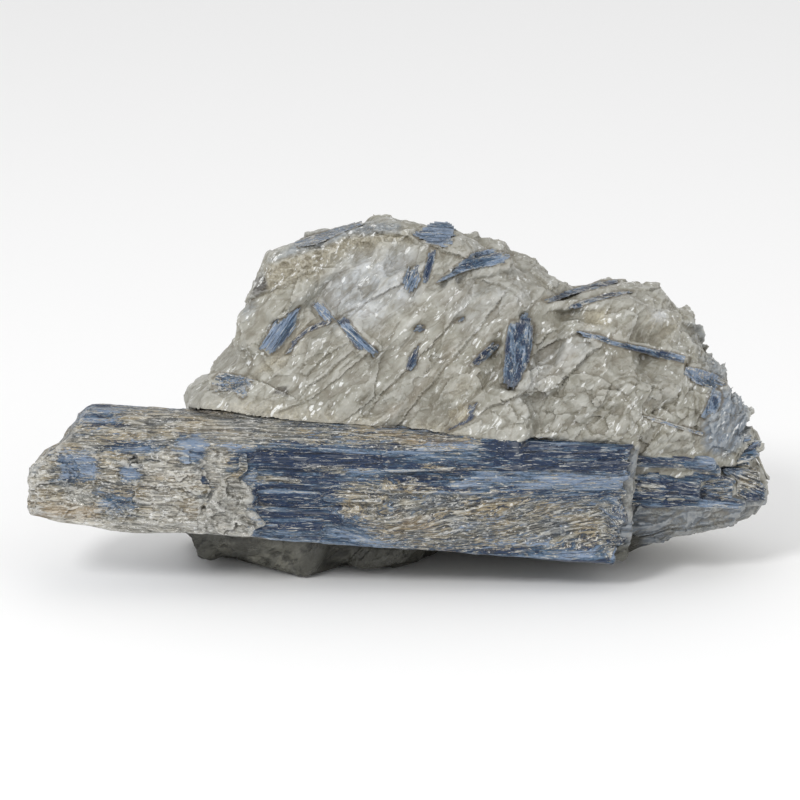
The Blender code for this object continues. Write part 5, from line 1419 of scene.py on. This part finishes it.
class MicaSettings(bpy.types.PropertyGroup):
    """Sizes and colours of the mica on the main blade."""
    crumple: amount("Crumple", "How far the sheets are crumpled", 1.0, 0.0, 2.0)
    colour: tint("Colour", "Colour of the bright flakes", (0.212, 0.2, 0.15))
    shade: tint("Shade", "Colour between the flakes", (0.07, 0.066, 0.05))


class StageSettings(bpy.types.PropertyGroup):
    """The floor and the lights."""
    floor_colour: tint("Floor", "Colour of the floor", (0.94, 0.94, 0.94))
    key_power: amount("Key Light", "Power of the large light above", 13.0, unit="POWER")
    sky: amount("Sky", "Brightness of the light from all around", 0.80)


# ---------------------------------------------------------------- operators

class AddQuartz(bpy.types.Operator):
    """Add the broken quartz mass"""
    bl_idname = "cluster.add_quartz"
    bl_label = "Quartz"

    def execute(self, context):
        settings = context.scene.cluster_quartz
        item = filled_copy("quartz_matrix", seat_fillings())
        remesh(item, settings.voxel * (1))
        smooth_over(item, MELTING)
        broken_quartz(item, settings)
        thin_out(item, settings.triangles)
        quartz_colours(item)
        material = quartz_material(settings)
        finish_piece(item, material, "quartz", "quartz_matrix")
        points, normals = read_points(item.data)
        ragged = facing(normals) * within(seen_places(points), RAGGED_SIDE, 1.5)
        strewn_plates("quartz_splinters", item, ragged, material, "quartz",
                      grain_axes(SPLINTER_ANGLE)[:, 0], Density=settings.flakes, **SPLINTERS)
        return {"FINISHED"}


class AddMainBlade(bpy.types.Operator):
    """Add the long kyanite bundle across the front"""
    bl_idname = "cluster.add_main_blade"
    bl_label = "Main Blade"

    def execute(self, context):
        settings = context.scene.cluster_kyanite
        item = filled_copy("main_blade", [(node, shifted(0, MICA_SUNK, 0)) for node in LOOSE_FLAKES])
        points, _ = read_points(item.data)
        axes = long_axes(points)
        remesh(item, settings.voxel * (1), axes, MAIN_STRETCH)
        smooth_over(item, MAIN_MELTING)
        shaped_main_blade(item, axes, settings, dressed_stone(context))
        thin_out(item, settings.triangles)
        kyanite_attributes(item, axes, *MAIN_BLADE_LOOK)
        material = lamellar_material("kyanite_lamellae", settings, context.scene.cluster_mica,
                                     fraying=0.5, thin_fraying=0.3, start=0.4, tipping=0.5)
        finish_piece(item, material, "kyanite", "main_blade")
        return {"FINISHED"}


class AddSetBlades(bpy.types.Operator):
    """Add the blades set in the quartz and the stepped blades at the right end"""
    bl_idname = "cluster.add_set_blades"
    bl_label = "Set Blades"

    def execute(self, context):
        settings = context.scene.cluster_kyanite
        material = bpy.data.materials["kyanite_lamellae"]
        stone = dressed_stone(context)
        for seed, (node, spec) in enumerate(SET_BLADES.items()):
            inlaid_blade(node, spec, stone, material, settings, seed)
        for seed, (node, look) in enumerate({**BACK_BLADES, **RIGHT_BLADES}.items()):
            item = splintered_blade(node, look, material, settings, seed)
        _, normals = read_points(item.data)
        strewn_plates("spur_needles", item, 1 - np.abs(normals[:, 0]), material, "pale_kyanite",
                      grain_axes(SPUR_ANGLE)[:, 0], Density=settings.needles, **NEEDLES)
        return {"FINISHED"}


class AddMica(bpy.types.Operator):
    """Add the mica crust and the crumpled silver plates, with loose flakes on them"""
    bl_idname = "cluster.add_mica"
    bl_label = "Mica"

    def execute(self, context):
        settings = context.scene.cluster_mica
        for node, slot, spec, shape in (("mica_crust", "mica", CRUMPLE, thinned_crust),
                                        ("mica_plates", "silver_mica", PLATE_CRUMPLE, ridged_plates)):
            silver = node == "mica_plates"
            item = filled_copy(node)
            remesh(item, MICA_VOXEL)
            points, normals = read_points(item.data)
            out = crumpled(points, normals, spec, silver) * settings.crumple
            write_points(item.data, shape(points, points + normals * out[:, None]))
            kyanite_attributes(item, grain_axes(MICA_ANGLE)[:, [0, 2, 1]], 0.0, 0.4 * silver)
            material = lamellar_material(node + "_flakes", context.scene.cluster_kyanite, settings,
                                         fraying=0.4, thin_fraying=0.0, start=0.3, tipping=0.8)
            finish_piece(item, material, slot, node)
            _, normals = read_points(item.data)
            strewn_plates(node + "_loose_flakes", item, facing(normals), material, slot, FLAKE_DIRECTION,
                          Density=LOOSE_FLAKES[node], **FLAKES)
        return {"FINISHED"}


class AddStage(bpy.types.Operator):
    """Add the floor, the lights and the camera"""
    bl_idname = "cluster.add_stage"
    bl_label = "Stage"

    def execute(self, context):
        settings = context.scene.cluster_stage
        bm = bmesh.new()
        bmesh.ops.create_circle(bm, cap_ends=True, segments=64, radius=FLOOR_RADIUS)
        mesh = bpy.data.meshes.new("floor")
        bm.to_mesh(mesh)
        bm.free()
        floor = new_object("floor", mesh)
        made = Material("floor")
        made.put(made.shader, Base_Color=(*settings.floor_colour, 1.0), Roughness=0.9)
        mesh.materials.append(made.material)
        world = bpy.data.worlds.new("studio")
        world.use_nodes = True
        Tree(world.node_tree).put(world.node_tree.nodes["Background"], Color=(1.0, 1.0, 1.0, 1.0),
                                  Strength=settings.sky)
        context.scene.world = world
        for name, (place, size, share) in LIGHTS.items():
            lamp = bpy.data.lights.new(name, "AREA")
            lamp.shape = "DISK"
            lamp.size = size
            lamp.energy = settings.key_power * share
            light = new_object(name, lamp)
            light.location = place
            light.rotation_euler = (Vector(LIT_PLACE) - Vector(place)).to_track_quat("-Z", "Y").to_euler()
        camera = bpy.data.cameras.new("camera")
        camera.sensor_width = 36.0
        camera.lens = CAMERA_LENS
        camera.clip_start = 0.05
        view = new_object("camera", camera)
        view.location = EYE * MM
        view.rotation_euler = (math.pi / 2 - CAMERA_ELEVATION, 0, 0)
        context.scene.camera = view
        context.scene.view_settings.view_transform = "Standard"
        return {"FINISHED"}


class ClusterPanel(bpy.types.Panel):
    """Settings and pieces of the cluster"""
    bl_idname = "VIEW3D_PT_cluster"
    bl_label = "Kyanite Cluster"
    bl_space_type = "VIEW_3D"
    bl_region_type = "UI"
    bl_category = "Cluster"

    def draw(self, context):
        for title, group, operators in PANEL_SECTIONS:
            box = self.layout.box()
            box.label(text=title)
            for name in getattr(context.scene, group).bl_rna.properties.keys():
                if name not in ("rna_type", "name"):
                    box.prop(getattr(context.scene, group), name)
            for operator in operators:
                box.operator(operator.bl_idname)


PANEL_SECTIONS = (("Quartz", "cluster_quartz", (AddQuartz,)),
                  ("Kyanite", "cluster_kyanite", (AddMainBlade, AddSetBlades)),
                  ("Mica", "cluster_mica", (AddMica,)),
                  ("Stage", "cluster_stage", (AddStage,)))
GROUPS = {"cluster_quartz": QuartzSettings, "cluster_kyanite": KyaniteSettings,
          "cluster_mica": MicaSettings, "cluster_stage": StageSettings}
CLASSES = (*GROUPS.values(), AddQuartz, AddMainBlade, AddSetBlades, AddMica, AddStage, ClusterPanel)


def register():
    for cls in CLASSES:
        bpy.utils.register_class(cls)
    for name, group in GROUPS.items():
        setattr(bpy.types.Scene, name, PointerProperty(type=group))


def unregister():
    for name in GROUPS:
        delattr(bpy.types.Scene, name)
    for cls in reversed(CLASSES):
        bpy.utils.unregister_class(cls)


def main():
    register()
    bpy.ops.cluster.add_stage()
    bpy.ops.cluster.add_quartz()
    bpy.ops.cluster.add_main_blade()
    bpy.ops.cluster.add_set_blades()
    bpy.ops.cluster.add_mica()


if __name__ == "__main__":
    main()
